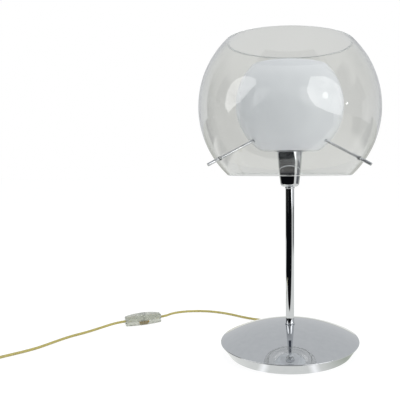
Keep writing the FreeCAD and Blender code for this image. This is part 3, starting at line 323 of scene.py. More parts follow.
def make_conductor():
    """Stranded copper with a gold-coloured lacquer, laid in a slow twist: fine bright wires."""
    material, tree, shader = new_material("gold_lacquered_strands", Metallic=0.15, Roughness=0.38)
    # each wire is 0.15 mm thick, too fine to show, so the bands are drawn about 1 mm wide
    dress(tree, shader, grain(tree, 1.0, 2.0), ("#D8CE86", "#F7F3D2"), bump=(0.1,))
    return material


def make_smoky_plastic():
    """Clear polycarbonate with a smoky green-grey cast, injection moulded: smooth, slightly hazy."""
    material, tree, shader = new_material("smoky_clear_polycarbonate", IOR=1.58, Transmission_Weight=0.82)
    dress(tree, shader, grain(tree, 6.0), ("#DFE1D6", "#EAEBE4"), (0.05, 0.1), (0.04, 0.5))
    return let_light_through(material, tree, shader, "#DCDED3")


def make_clear_moulding():
    """Clear soft PVC moulded thick round the plug: milky depth, satin skin from handling."""
    material, tree, shader = new_material("clear_moulded_pvc", IOR=1.53, Transmission_Weight=0.72)
    dress(tree, shader, grain(tree, 5.0), ("#D3D3C4", "#DEDED1"), (0.16, 0.3), (0.05, 0.5))
    return let_light_through(material, tree, shader, "#BFBFAE")


def make_clear_silicone():
    """Clear silicone of the grommets in the glass: water-clear, soft satin skin."""
    material, tree, shader = new_material("clear_silicone", IOR=1.43, Transmission_Weight=1.0)
    dress(tree, shader, grain(tree, 1.5), ("#EDEEED", "#F6F7F6"), (0.05, 0.12))
    return let_light_through(material, tree, shader, "#F0F1F0")


def make_amber_plastic():
    """Translucent amber polycarbonate of the rocker: moulded, glossy, worn a little dull."""
    material, tree, shader = new_material("amber_polycarbonate", IOR=1.58, Transmission_Weight=0.65)
    dress(tree, shader, grain(tree, 2.5), ("#B9AC80", "#C9BD99"), (0.2, 0.38))
    return material


def make_metal(name, tones, grain_mm, rough, depth_mm):
    """A plain metal: its own two tones, grain size, roughness range and relief."""
    material, tree, shader = new_material(name, Metallic=1.0)
    dress(tree, shader, grain(tree, grain_mm), tones, rough, (depth_mm, 0.6))
    return material


def make_dull(name, tones, grain_mm, rough, depth_mm, **sockets):
    """A non-metal with a grain: cast paint, rubber, moulded plastic or felt."""
    material, tree, shader = new_material(name, **sockets)
    dress(tree, shader, grain(tree, grain_mm, 5.0), tones, rough, (depth_mm,))
    return material


chrome = make_chrome()
clear_glass = make_clear_glass()
ground_rim = make_ground_rim()
opal_glass = make_opal_glass()
frosted_glass = make_frosted_glass()
clear_pvc = make_clear_pvc()
conductor = make_conductor()
smoky_plastic = make_smoky_plastic()
clear_moulding = make_clear_moulding()
clear_silicone = make_clear_silicone()
amber_plastic = make_amber_plastic()
# drawn brass, left bare: warm yellow, fine scratches
brass = make_metal("bare_brass", ("#C29A55", "#D6B36F"), 1.5, (0.2, 0.38), 0.02)
# nickel plate on brass: warmer and softer than chrome
nickel = make_metal("nickel_plate", ("#B9B5AC", "#C7C3BA"), 3.0, (0.12, 0.26), 0.01)
# bright zinc plate on steel: pale blue-grey with faint spangle
zinc = make_metal("zinc_plated_steel", ("#A4A8AC", "#B9BDC1"), 2.0, (0.25, 0.42), 0.02)
# grey cast iron under a thin black paint: pebbled from the sand mould
cast_iron = make_dull("painted_cast_iron", ("#202122", "#2C2D2E"), 1.8, (0.55, 0.75), 0.25)
# needled wool felt: matt black with loose fibres
felt = make_dull("black_wool_felt", ("#141415", "#232324"), 0.9, (0.85, 0.98), 0.3, Sheen_Weight=0.3)
# soft black rubber, moulded: matt with a dusty grey bloom
rubber = make_dull("black_soft_rubber", ("#151515", "#242424"), 1.2, (0.45, 0.65), 0.05)
# black phenolic-like lampholder plastic, moulded: even satin
black_plastic = make_dull("black_moulded_holder_plastic", ("#131313", "#1C1C1C"), 2.2, (0.28, 0.42), 0.03)


# ---------------------------------------------------------------------------
# Turned pieces, from the same outlines as the frame, in millimetres
# ---------------------------------------------------------------------------
ARC_STEP = 0.9
SHARP_ANGLE = math.radians(32.0)
MERGE_DISTANCE = 2e-6             # metres
ON_AXIS = 1e-6                    # a corner nearer to the axis than this is one point and not a ring


def circle(steps):
    """Evenly spaced points round a circle with radius 1."""
    angles = [2 * math.pi * index / steps for index in range(steps)]
    return [(math.cos(angle), math.sin(angle)) for angle in angles]


def arc_points(start, end, radius, turn):
    """Points along the short arc from start to end, without the end. turn +1 is counter-clockwise."""
    start, end = Vector(start), Vector(end)
    chord = end - start
    reach = math.sqrt(max(radius ** 2 - (chord.length / 2) ** 2, 0.0))
    normal = Vector((-chord.y, chord.x)).normalized()
    centre = start + chord / 2 + normal * reach * turn
    first = math.atan2(start.y - centre.y, start.x - centre.x)
    sweep = 2 * math.asin(min(chord.length / (2 * radius), 1.0)) * turn
    count = max(4, int(abs(sweep) * radius / ARC_STEP))
    return [(centre.x + radius * math.cos(first + sweep * index / count),
             centre.y + radius * math.sin(first + sweep * index / count)) for index in range(count)]


def outline_points(corners):
    """The closed outline: corners are (radius, height) or (radius, height, arc radius, turn)."""
    points = []
    for index, corner in enumerate(corners):
        after = corners[(index + 1) % len(corners)]
        if len(corner) == 2:
            points.append(tuple(corner))
        else:
            points += arc_points(corner[:2], after[:2], corner[2], corner[3])
    return points


def finish_piece(made, material, body, slot, *nodes):
    """Material, body and the frame's nodes that the piece stands for; the slot argument is not used."""
    made.data.materials.clear()
    made.data.materials.append(material)
    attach(made, body)
    if nodes:
        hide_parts(*nodes)
    return made


def smooth_shading(mesh):
    """Smooth faces, with the sharp edges kept."""
    mesh.shade_smooth()
    mesh.set_sharp_from_angle(angle=SHARP_ANGLE)


def mesh_object(name, build):
    """A new object whose mesh is made by a function that fills a bmesh."""
    mesh = bpy.data.meshes.new(name)
    work = bmesh.new()
    build(work)
    bmesh.ops.remove_doubles(work, verts=work.verts, dist=MERGE_DISTANCE)
    bmesh.ops.recalc_face_normals(work, faces=work.faces)
    work.to_mesh(mesh)
    work.free()
    smooth_shading(mesh)
    made = bpy.data.objects.new(name, mesh)
    bpy.context.scene.collection.objects.link(made)
    return made


def turned(name, corners, steps, placement=None):
    """A closed mesh turned round the axis from an outline."""
    points = outline_points(corners)
    placement = placement or Matrix.Identity(4)
    around = circle(steps)

    def ring_of(work, radius, height):
        spots = around[:1] if radius < ON_AXIS else around
        return [work.verts.new(placement @ Vector((radius * MM * x, radius * MM * y, height * MM)))
                for x, y in spots]

    def build(work):
        rings = [ring_of(work, radius, height) for radius, height in points]
        for ring, after in zip(rings, rings[1:] + rings[:1]):
            for k in range(steps):
                face = [ring[k % len(ring)], ring[(k + 1) % len(ring)],
                        after[(k + 1) % len(after)], after[k % len(after)]]
                face = list(dict.fromkeys(face))
                if len(face) > 2:
                    work.faces.new(face)

    return mesh_object(name, build)


def aimed(point, direction):
    """A placement whose local Z points along a direction."""
    turn = Vector(direction).to_track_quat("Z", "Y").to_matrix().to_4x4()
    return Matrix.Translation(Vector(point) * MM) @ turn


def cylinder(name, radius, start, end, placement):
    """A closed cylinder along its placement's local Z."""
    return turned(name, [(0, start), (radius, start), (radius, end), (0, end)], 48, placement)


def drilled(made, tool):
    """Cuts a closed tool out of a piece and removes the tool."""
    cutter = made.modifiers.new("drill", "BOOLEAN")
    cutter.operation = "DIFFERENCE"
    cutter.solver = "EXACT"
    cutter.object = tool
    bpy.context.view_layer.update()
    graph = bpy.context.evaluated_depsgraph_get()
    mesh = bpy.data.meshes.new_from_object(made.evaluated_get(graph))
    made.modifiers.clear()
    made.data = mesh
    smooth_shading(mesh)
    bpy.data.objects.remove(tool)


def chromed(name, corners, steps, node, placement=None):
    """A turned chrome piece in the place of one of the frame's nodes."""
    return finish_piece(turned(name, corners, steps, placement), chrome, "lamp", "chrome", node)


CROWN = 41.0                      # top of the foot's dome
STEM_RADIUS = 6.5
STEM_TOP = 247.0
CUP_BOTTOM = 250.0
CUP_TOP = 302.4
OPAL_BOTTOM = 302.9
OPAL_CENTRE = 370.7
OPAL_MOUTH = 427.1
GLOBE_CENTRE = 365.0
GLOBE_TOP = 460.82
GLOBE_BOTTOM = 267.26
BORE = 5.05                       # radius of the holes that the threaded nipples go through
GLAND_AZIMUTH = math.radians(112.0)
GLAND_HEIGHT = 8.5


def on_gland_axis():
    """A placement on the cord's way out of the foot: local Z points outwards."""
    return aimed((0, 0, GLAND_HEIGHT), (math.cos(GLAND_AZIMUTH), math.sin(GLAND_AZIMUTH), 0.0))


def make_foot_cover():
    """Spun dome with a rolled rim; the side wall draws in to the foot in a slight hollow."""
    made = turned("chrome_foot_cover", [
        (BORE, CROWN),
        (BORE, 39.5),
        (8.5, 39.5, 206.8, -1),
        (102.3, 16.72),
        (92.0, 0.6),
        (93.5, 0.6, 311.0, -1),
        (105.0, 16.48, 1.2, 1),
        (103.8, 17.92, 208.3, 1),
        (8.5, CROWN),
    ], 256)
    drilled(made, cylinder("gland_drill", 4.0, 80, 112, on_gland_axis()))
    finish_piece(made, chrome, "lamp", "chrome", "base_cover")


def make_stem():
    """The stem's tube, the small ring at its foot and the ring between it and the cup."""
    chromed("chrome_stem", [
        (BORE, CROWN),
        (STEM_RADIUS, CROWN),
        (STEM_RADIUS, STEM_TOP),
        (BORE, STEM_TOP),
    ], 96, "stem_tube")
    chromed("chrome_stem_collar", [
        (6.55, CROWN),
        (7.0, CROWN, 1.5, 1),
        (7.0, CROWN + 2.4),
        (6.55, CROWN + 2.4),
    ], 96, "stem_collar")
    chromed("chrome_neck_ring", [
        (BORE, STEM_TOP),
        (6.8, STEM_TOP, 2.175, 1),
        (6.8, CUP_BOTTOM),
        (BORE, CUP_BOTTOM),
    ], 96, "neck_ring")


def make_holder_cup():
    """Tapered cup with a rounded bottom and a thin lip."""
    lip_bottom = CUP_TOP - 0.9
    side = 541.0
    chromed("chrome_lampholder_cup", [
        (BORE, CUP_BOTTOM),
        (9.0, CUP_BOTTOM, 5.3, 1),
        (14.2, 255.2, side, 1),
        (18.6, lip_bottom),
        (19.7, lip_bottom, 0.42, 1),
        (20.0, lip_bottom + 0.3, 0.6, 1),
        (19.8, CUP_TOP),
        (17.6, CUP_TOP),
        (17.6, lip_bottom, side, -1),
        (13.2, 255.2),
        (9.0, 251.0),
        (BORE, 251.0),
    ], 160, "lampholder_cup")


ROD_RADIUS = 2.0
ROD_SLOPE = math.radians(26.6)
ROD_AXIS_HEIGHT = 347.067         # where the rods' axes meet the lamp's axis
ROD_START = 17.6                  # from the lamp's axis to a rod's inner end
GLASS_CROSSING = 123.8            # along a rod, from the lamp's axis to the middle of the clear glass
ROD_OVERHANG = 20.8               # from there to the outer end of the cap
ROD_SHORTFALL = 1.25              # from the rod's outer end to the cap's
ROD_AZIMUTHS = [-150.0, -30.0, 90.0]
SLIDING_BORE = 2.06               # radius of the hole in grommets and caps


def on_rod(azimuth, reach):
    """A placement on a rod, at a distance from the lamp's axis: local Z points outwards."""
    across, back = math.cos(math.radians(azimuth)), math.sin(math.radians(azimuth))
    point = (reach * across, reach * back, ROD_AXIS_HEIGHT - reach * math.tan(ROD_SLOPE))
    level = math.cos(ROD_SLOPE)
    return aimed(point, (across * level, back * level, -math.sin(ROD_SLOPE)))


def drill_for_rods(made, radius):
    """Cuts the three rods' holes into a globe, with a tool longer than a rod."""
    for azimuth in ROD_AZIMUTHS:
        drilled(made, cylinder("rod_drill", radius, 0, 150.0, on_rod(azimuth, ROD_START)))


def make_opal_globe():
    """Opal glass with a ground flat bottom and a soft, fire-polished mouth."""
    outer = 80.0
    inner = 77.0
    wall = outer - inner
    hole = 16.1
    rise = OPAL_MOUTH - OPAL_CENTRE
    outer_mouth = math.sqrt(outer ** 2 - rise ** 2)
    inner_mouth = math.sqrt(inner ** 2 - rise ** 2)
    # the rounding from the flat bottom to the side: its radius, and its centre seen from the globe's
    rounding = 15.0
    away = outer - rounding
    down = OPAL_CENTRE - OPAL_BOTTOM - rounding
    flat = math.sqrt(away ** 2 - down ** 2)
    made = turned("opal_inner_globe", [
        (hole, OPAL_BOTTOM),
        (flat, OPAL_BOTTOM, rounding, 1),
        (flat * outer / away, OPAL_CENTRE - down * outer / away, outer, 1),
        (outer, OPAL_CENTRE, outer, 1),
        (outer_mouth + 0.7, OPAL_MOUTH - 1.1, 1.6, 1),
        (outer_mouth - 0.7, OPAL_MOUTH, 3.0, 1),
        (inner_mouth + 1.0, OPAL_MOUTH - 0.1, 1.6, 1),
        (inner_mouth + 0.4, OPAL_MOUTH - 1.0, inner, -1),
        (inner, OPAL_CENTRE, inner, -1),
        (flat * inner / away, OPAL_CENTRE - down * inner / away, rounding - wall, -1),
        (flat, OPAL_BOTTOM + wall),
        (hole, OPAL_BOTTOM + wall),
    ], 192)
    drill_for_rods(made, 2.5)
    finish_piece(made, opal_glass, "lamp", "opal_glass", "inner_globe")


def make_clear_globe():
    """Clear blown glass, open at the top and the bottom, its rims ground flat and softened."""
    outer = 134.3
    inner = 131.3
    above = GLOBE_TOP - GLOBE_CENTRE
    below = GLOBE_CENTRE - GLOBE_BOTTOM
    soft = 0.4
    soft_radius = 0.5
    rim_depth = 0.5 * MM

    def reach(radius, height):
        return math.sqrt(radius ** 2 - height ** 2)

    made = turned("clear_outer_globe", [
        (reach(outer, below - soft), GLOBE_BOTTOM + soft, outer, 1),
        (outer, GLOBE_CENTRE, outer, 1),
        (reach(outer, above - soft), GLOBE_TOP - soft, soft_radius, 1),
        (reach(outer, above) - soft, GLOBE_TOP),
        (reach(inner, above) + soft, GLOBE_TOP, soft_radius, 1),
        (reach(inner, above - soft), GLOBE_TOP - soft, inner, -1),
        (inner, GLOBE_CENTRE, inner, -1),
        (reach(inner, below - soft), GLOBE_BOTTOM + soft, soft_radius, 1),
        (reach(inner, below) + soft, GLOBE_BOTTOM),
        (reach(outer, below) - soft, GLOBE_BOTTOM, soft_radius, 1),
    ], 256)
    drill_for_rods(made, 2.75)
    finish_piece(made, clear_glass, "lamp", "clear_glass", "outer_globe")
    made.data.materials.append(ground_rim)
    heights = [face.center.z for face in made.data.polygons]
    low, high = min(heights), max(heights)
    for face, height in zip(made.data.polygons, heights):
        face.material_index = 1 if min(height - low, high - height) < rim_depth else 0


def make_rods():
    """Three rods, their clear grommets in the glass and the caps that keep the globe on."""
    length = GLASS_CROSSING + ROD_OVERHANG - ROD_SHORTFALL - ROD_START / math.cos(ROD_SLOPE)
    for index, azimuth in enumerate(ROD_AZIMUTHS, start=1):
        rod = cylinder("chrome_rod_%d" % index, ROD_RADIUS, 0, length, on_rod(azimuth, ROD_START))
        finish_piece(rod, chrome, "lamp", "chrome", "support_rod_%d" % index)
        in_glass = on_rod(azimuth, GLASS_CROSSING * math.cos(ROD_SLOPE))
        grommet = turned("clear_grommet_%d" % index, [
            (SLIDING_BORE, -2.6),
            (3.0, -2.6, 0.32, 1),
            (3.3, -2.3),
            (3.3, -2.0),
            (2.7, -1.95),
            (2.7, 1.95),
            (3.3, 2.0),
            (3.3, 2.3, 0.32, 1),
            (3.0, 2.6),
            (SLIDING_BORE, 2.6),
        ], 64, in_glass)
        finish_piece(grommet, clear_silicone, "lamp", "clear_plastic", "rod_grommet_%d" % index)
        chromed("chrome_rod_cap_%d" % index, [
            (SLIDING_BORE, 2.65),
            (2.3, 2.65, 0.1, 1),
            (2.4, 2.75),
            (2.4, ROD_OVERHANG - 0.5, 0.5, 1),
            (1.9, ROD_OVERHANG),
            (0, ROD_OVERHANG),
            (0, ROD_OVERHANG - 1.2),
            (SLIDING_BORE, ROD_OVERHANG - 1.2),
        ], 48, "rod_cap_%d" % index, in_glass)


def make_bulb():
    """Frosted bulb on its screw cap, whose thread is turned as rounded rings."""
    neck_top = 343.45
    flare = 100.0
    envelope = turned("frosted_bulb", [
        (0, neck_top),
        (12.9, neck_top, flare, -1),
        (28.2, 380.2, 30.0, 1),
        (30.0, 390.4, 30.0, 1),
        (0, 420.4),
    ], 128)
    finish_piece(envelope, frosted_glass, "lamp", "frosted_glass", "bulb_envelope")
    corners = [(0, 314.45), (3.0, 314.45), (4.5, 315.65), (12.2, 320.45)]
    thread_bottom = 320.9
    pitch = 3.6
    for turn in range(6):
        base = thread_bottom + pitch * turn
        corners += [(12.3, base, 2.3, 1), (12.3, base + pitch * 0.8)]
    corners += [(13.1, neck_top), (0, neck_top)]
    cap = turned("nickel_bulb_cap", corners, 96)
    finish_piece(cap, nickel, "lamp", "nickel", "bulb_cap")


# ---------------------------------------------------------------------------
# Cord fittings and the cord's conductors
# ---------------------------------------------------------------------------
STRAND_STEP = 0.0012
STRAND_SIDES = 7
STRAND_TWIST = 0.015              # length of one whole twist of the pair
STRAND_RADIUS = 0.00115           # the two soft bunches press flat against each other
STRAND_OFFSET = 0.00088


def make_gland():
    """Moulded bushing with a tapered, grooved nose that guards the cord."""
    bore, head, neck = 2.2, 5.1, 3.9
    reach, nose = 100.5, 122.5
    margin = 2.0
    grooves = 6
    corners = [(bore, 87.5), (head, 87.5), (head, 90.0), (neck, 90.0), (neck, reach)]
    for groove in range(grooves):
        start = reach + margin + (nose - reach - 2 * margin) * groove / grooves
        radius = neck - (start - reach) / (nose - reach)
        corners += [(radius, start), (radius - 0.45, start + 0.4), (radius - 0.5, start + 1.0),
                    (radius - 0.1, start + 1.4)]
    corners += [(2.95, nose - 0.4), (2.7, nose), (bore, nose)]
    made = turned("cord_gland_nose", corners, 64, on_gland_axis())
    finish_piece(made, clear_moulding, "lamp", "clear_plastic", "cord_gland")


def softened(node_name, name, material, body, slot):
    """The frame's solid with its curved faces smoothed, as a new piece in its place."""
    source = NODES[node_name].data

    def build(work):
        work.from_mesh(source)

    return finish_piece(mesh_object(name, build), material, body, slot, node_name)


def line_points(line):
    """Points read from a cord's own smooth line."""
    bare = line.copy()
    bare.data = line.data.copy()
    bare.data.bevel_depth = 0.0
    bpy.context.scene.collection.objects.link(bare)
    bpy.context.view_layer.update()
    mesh = bpy.data.meshes.new_from_object(bare)
    points = [vert.co.copy() for vert in mesh.vertices]
    bpy.data.objects.remove(bare)
    return points


def even_points(points, step):
    """Points in even steps along the same line, and the line's length."""
    lengths = [0.0]
    for before, after in zip(points, points[1:]):
        lengths.append(lengths[-1] + (after - before).length)
    count = int(lengths[-1] / step)
    found = []
    place = 0
    for index in range(count + 1):
        wanted = lengths[-1] * index / count
        while place < len(points) - 2 and lengths[place + 1] < wanted:
            place += 1
        share = (wanted - lengths[place]) / max(lengths[place + 1] - lengths[place], 1e-9)
        found.append(points[place].lerp(points[place + 1], share))
    return found, lengths[-1]


def make_strands(name, line):
    """The twisted pair of conductors inside the clear cord."""
    points, length = even_points(line_points(line), STRAND_STEP)
    last = len(points) - 1
    around = circle(STRAND_SIDES)

    def strand_ring(work, index, phase):
        ahead = (points[min(index + 1, last)] - points[max(index - 1, 0)]).normalized()
        across = ahead.cross(Vector((0, 0, 1))).normalized()
        up = across.cross(ahead)
        twist = 2 * math.pi * length * index / last / STRAND_TWIST + phase
        centre = points[index] + (across * math.cos(twist) + up * math.sin(twist)) * STRAND_OFFSET
        return [work.verts.new(centre + (across * x + up * y) * STRAND_RADIUS) for x, y in around]

    def build(work):
        for phase in (0.0, math.pi):
            rings = [strand_ring(work, index, phase) for index in range(last + 1)]
            for ring, after in zip(rings, rings[1:]):
                for k in range(STRAND_SIDES):
                    beside = (k + 1) % STRAND_SIDES
                    work.faces.new((ring[k], ring[beside], after[beside], after[k]))
            work.faces.new(rings[0][::-1])
            work.faces.new(rings[-1])

    return finish_piece(mesh_object(name, build), conductor, "lamp", "clear_cord")


make_foot_cover()
make_stem()
make_holder_cup()
make_opal_globe()
make_clear_globe()
make_rods()
make_bulb()
make_gland()

for line in (lamp_side_cord, plug_side_cord):
    line.data.materials.append(clear_pvc)
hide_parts("cord_lamp_side")
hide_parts("cord_plug_side", "cord_coil", "cord_tail")
lamp_side_strands = make_strands("conductors_to_switch", lamp_side_cord)
plug_side_strands = make_strands("conductors_to_plug", plug_side_cord)

lower_shell = softened("switch_lower_shell", "switch_lower_half", smoky_plastic, "lamp", "clear_plastic")
upper_shell = softened("switch_upper_shell", "switch_upper_half", smoky_plastic, "lamp", "clear_plastic")
rocker = softened("switch_rocker", "switch_rocker_button", amber_plastic, "rocker", "amber_plastic")
plug_body = softened("plug_body", "plug_moulding", clear_moulding, "lamp", "clear_plastic")
plug_pins = softened("plug_pins", "plug_pin_pair", nickel, "lamp", "nickel")
pin_sleeves = softened("plug_pin_sleeves", "plug_pin_guards", black_plastic, "lamp", "black_plastic")
softened("rod_hub", "chrome_rod_hub", chrome, "lamp", "chrome")
softened("shade_ring", "black_shade_ring", black_plastic, "lamp", "black_plastic")
softened("holder_body", "black_lampholder", black_plastic, "lamp", "black_plastic")
softened("opal_gasket", "rubber_gasket", rubber, "lamp", "black_rubber")
softened("inner_lead", "lead_in_stem", clear_pvc, "lamp", "clear_cord")

KEPT_NODES = {
    "base_weight": cast_iron,
    "base_plate": zinc,
    "foot_pad": felt,
    "plate_screws": zinc,
    "base_washer": zinc,
    "base_nut": zinc,
    "base_nipple": zinc,
    "cup_nipple": zinc,
    "cup_nut": zinc,
    "screw_shell": brass,
    "centre_contact": brass,
    "switch_bridge": brass,
    "switch_terminals": brass,
    "terminal_screws": zinc,
    "housing_screw": zinc,
}
for name, material in KEPT_NODES.items():
    NODES[name].data.materials.clear()
    NODES[name].data.materials.append(material)


# ---------------------------------------------------------------------------
# Studio, laid out after the mirror images in the photograph
# ---------------------------------------------------------------------------
# Where the tones of the table and the room change in mirror images, in metres from the lamp's axis.
# Each pair says where a change starts and where it is complete.
TABLE_FRONT = (-0.235, -0.215)        # nearer to the camera than this the room is dark
FRONT_SLANTS = (0.45, 0.12)           # that edge's slopes, to the right and to the left of the lamp
TABLE_LEFT = (-0.49, -0.45)           # further left than this the room is dark,
BEHIND_LAMP = (0.25, 0.5)             # but from here back the table goes on to the left,
BEHIND_REACH = (1.3, 1.15)            # up to this distance
FAR_FADE = (0.5, 0.9)                 # from here back the table is greyer
LIT_SLANT = 1.3                       # slope of the edge between the dark and the lit side of the room
GREY_SLANTS = (0.17, 0.7)             # slopes of the two sides of the room's grey sector
GREY_REACH = (0.8, 1.1)               # further from the lamp than this the sector is grey
SOFT_EDGE = (0.0, 0.08)
NEAR_FOOT = (0.16, 0.13)
IN_FRONT = (0.0, -0.03)
# painted shade: from here to the right, the table close in front of the foot is darker and greener in mirror
# images
SHADED_GREEN_SIDE = (0.045, 0.085)
POOL_INNER = (0.028, 0.036)           # the pools of light lie between these distances to the left
POOL_OUTER = (0.046, 0.038)           # and to the right
POOL_STRENGTH = 1.3
WHITE_STRENGTH = 1.2
WHITE_SHARE = 0.72                    # the rest of the table's white keeps the lamp's shadow
FLOOR_RADIUS = 12.0
CARD_CENTRE = 0.3                     # height that the cards are laid out round
LOWEST_CARD = 0.004                   # cards end just above the table
ROOM_FADE = (0.5, 2.3)                # the dark part of the room turns paler between these heights
PANEL_GAP = 0.03                      # share by which an umbrella's panel is drawn in from its neighbours
LIGHT_TARGET = Vector((0, 0, 0.25))


def instead(tree, share, before, code):
    """The colour before where the share is 0, and this one where it is 1."""
    return add(tree, "ShaderNodeMix", {7: linear(code)}, {0: share, 6: before}, data_type="RGBA").outputs[2]


def combined(tree, operation, first, second):
    """Two values brought together by an operation."""
    return add(tree, "ShaderNodeMath", None, {0: first, 1: second}, operation=operation).outputs[0]


def scaled(tree, source, factor):
    """A value times a number."""
    return add(tree, "ShaderNodeMath", {1: factor}, {0: source}, operation="MULTIPLY").outputs[0]


def mirrors_passed(tree, path, comparison):
    """1 where a ray's count of mirror images is above, or below, one half."""
    return add(tree, "ShaderNodeMath", {1: 0.5}, {0: path.outputs["Glossy Depth"]},
               operation=comparison).outputs[0]


def seen_through_glass(tree, path):
    """1 for a ray that has passed through glass without a mirror image on its way, else 0."""
    return both(tree, path.outputs["Is Transmission Ray"], mirrors_passed(tree, path, "LESS_THAN"))


def seen_in_mirror(tree, path):
    """1 for a ray with a mirror image on its way, also behind glass, and 0 or less for the others."""
    mirrored = mirrors_passed(tree, path, "GREATER_THAN")
    return combined(tree, "SUBTRACT", mirrored, path.outputs["Is Diffuse Ray"])


def make_world():
    """White for the camera, pale walls for metal, the grey backdrop through glass, even fill on the rest."""
    world = bpy.data.worlds.new("studio")
    bpy.context.scene.world = world
    world.use_nodes = True
    tree = world.node_tree
    path = add(tree, "ShaderNodeLightPath")
    tone = tinted(tree, path.outputs["Is Diffuse Ray"], "#D0D2D4", "#C2C5C9")
    tone = instead(tree, seen_through_glass(tree, path), tone, "#DBDCDA")
    tone = instead(tree, path.outputs["Is Camera Ray"], tone, "#FFFFFF")
    tree.links.new(tone, tree.nodes["Background"].inputs["Color"])


def lit_side(tree, across, back):
    """1 behind the lamp and to its right, where the room is bright, and 0 in front and to the left."""
    return ramp(tree, combined(tree, "ADD", across, scaled(tree, back, LIT_SLANT)), *SOFT_EDGE)


def grey_side(tree, across, back):
    """1 in the sector to the right of the lamp and a little behind it, and 0 or less elsewhere."""
    start = ramp(tree, combined(tree, "ADD", back, scaled(tree, across, GREY_SLANTS[0])), *SOFT_EDGE)
    end = ramp(tree, combined(tree, "SUBTRACT", back, scaled(tree, across, GREY_SLANTS[1])), *SOFT_EDGE)
    return combined(tree, "SUBTRACT", start, end)


def mirrored_table(tree):
    """The table as mirror images show it, with the dark room past its front and left edges."""
    where = add(tree, "ShaderNodeTexCoord").outputs["Object"]
    axes = add(tree, "ShaderNodeSeparateXYZ", None, {0: where})
    across, back = axes.outputs[0], axes.outputs[1]
    apart = add(tree, "ShaderNodeVectorMath", None, {0: where}, operation="LENGTH").outputs["Value"]

    slant = either(tree, *[scaled(tree, across, factor) for factor in FRONT_SLANTS])
    in_from_front = ramp(tree, combined(tree, "ADD", back, slant), *TABLE_FRONT)
    behind = both(tree, ramp(tree, back, *BEHIND_LAMP), ramp(tree, apart, *BEHIND_REACH))
    in_from_left = either(tree, ramp(tree, across, *TABLE_LEFT), behind)
    table = either(tree, both(tree, in_from_front, in_from_left), lit_side(tree, across, back))
    pale = tinted(tree, ramp(tree, back, *FAR_FADE), "#F1F2EF", "#C4C6C1")
    tone = add(tree, "ShaderNodeMix", {6: linear("#0F1013")}, {0: table, 7: pale},
               data_type="RGBA").outputs[2]
    grey = both(tree, grey_side(tree, across, back), ramp(tree, apart, *GREY_REACH))
    tone = instead(tree, grey, tone, "#6A6C70")

    # in front of the foot: painted shade, darker and greener, to its right, and the pools of light under the
    # two umbrellas
    close = both(tree, ramp(tree, apart, *NEAR_FOOT), ramp(tree, back, *IN_FRONT))
    tone = instead(tree, both(tree, close, ramp(tree, across, *SHADED_GREEN_SIDE)), tone, "#B4BAB0")
    aside = add(tree, "ShaderNodeMath", None, {0: across}, operation="ABSOLUTE").outputs[0]
    pool = both(tree, both(tree, ramp(tree, aside, *POOL_INNER), ramp(tree, aside, *POOL_OUTER)), close)
    tone = instead(tree, pool, tone, "#FFFFFF")
    strength = ramp(tree, pool, 0.0, 1.0, 1.0, POOL_STRENGTH)
    return add(tree, "ShaderNodeEmission", None, {"Color": tone, "Strength": strength})


def make_floor():
    """White table top that fades into the white surround but keeps the lamp's shadow."""
    material, tree, shader = new_material("white_table_top", Roughness=0.6, Specular_IOR_Level=0.2)
    dress(tree, shader, grain(tree, 15.0), ("#EDEDED", "#F2F2F2"))
    path = add(tree, "ShaderNodeLightPath")
    camera_ray = path.outputs["Is Camera Ray"]
    white = add(tree, "ShaderNodeEmission", {"Strength": WHITE_STRENGTH},
                {"Color": tinted(tree, camera_ray, "#CDCECC", "#FFFFFF")})
    share = scaled(tree, either(tree, camera_ray, seen_through_glass(tree, path)), WHITE_SHARE)
    plain = add(tree, "ShaderNodeMixShader", None, {0: share, 1: shader.outputs[0], 2: white.outputs[0]})
    whole = add(tree, "ShaderNodeMixShader", None,
                {0: seen_in_mirror(tree, path), 1: plain.outputs[0], 2: mirrored_table(tree).outputs[0]})
    tree.links.new(whole.outputs[0], tree.nodes["Material Output"].inputs["Surface"])

    def build(work):
        bmesh.ops.create_circle(work, cap_ends=True, radius=FLOOR_RADIUS, segments=64)

    floor = mesh_object("table_top", build)
    floor.data.materials.append(material)


def toward(azimuth, rise, distance):
    """A place in the studio. Azimuth 0 is behind the camera, 90 to its right; none is under the table."""
    azimuth, rise = math.radians(azimuth), math.radians(rise)
    flat = distance * math.cos(rise)
    return Vector((flat * math.sin(azimuth), -flat * math.cos(azimuth),
                   max(CARD_CENTRE + distance * math.sin(rise), LOWEST_CARD)))


def room_tone(tree):
    """Dark low down in front and to the left, paler upwards and to the right."""
    axes = add(tree, "ShaderNodeSeparateXYZ", None, {0: add(tree, "ShaderNodeTexCoord").outputs["Object"]})
    light = either(tree, ramp(tree, axes.outputs[2], *ROOM_FADE), lit_side(tree, *axes.outputs[:2]))
    return tinted(tree, light, "#101114", "#D0D2D4")


def make_card(name, code, strength, build):
    """A card that only mirror images show. Without a colour of its own it has the room's tones."""
    material = bpy.data.materials.new(name)
    material.use_nodes = True
    tree = material.node_tree
    tree.nodes.remove(tree.nodes["Principled BSDF"])
    glow = add(tree, "ShaderNodeEmission", {"Strength": strength})
    if code:
        glow.inputs["Color"].default_value = linear(code)
    else:
        tree.links.new(room_tone(tree), glow.inputs["Color"])
    clear = add(tree, "ShaderNodeBsdfTransparent")
    through = seen_through_glass(tree, add(tree, "ShaderNodeLightPath"))
    mixed = add(tree, "ShaderNodeMixShader", None, {0: through, 1: glow.outputs[0], 2: clear.outputs[0]})
    tree.links.new(mixed.outputs[0], tree.nodes["Material Output"].inputs["Surface"])
    card = mesh_object(name, build)
    card.data.materials.append(material)
    card.visible_camera = False
    card.visible_diffuse = False
    card.visible_shadow = False


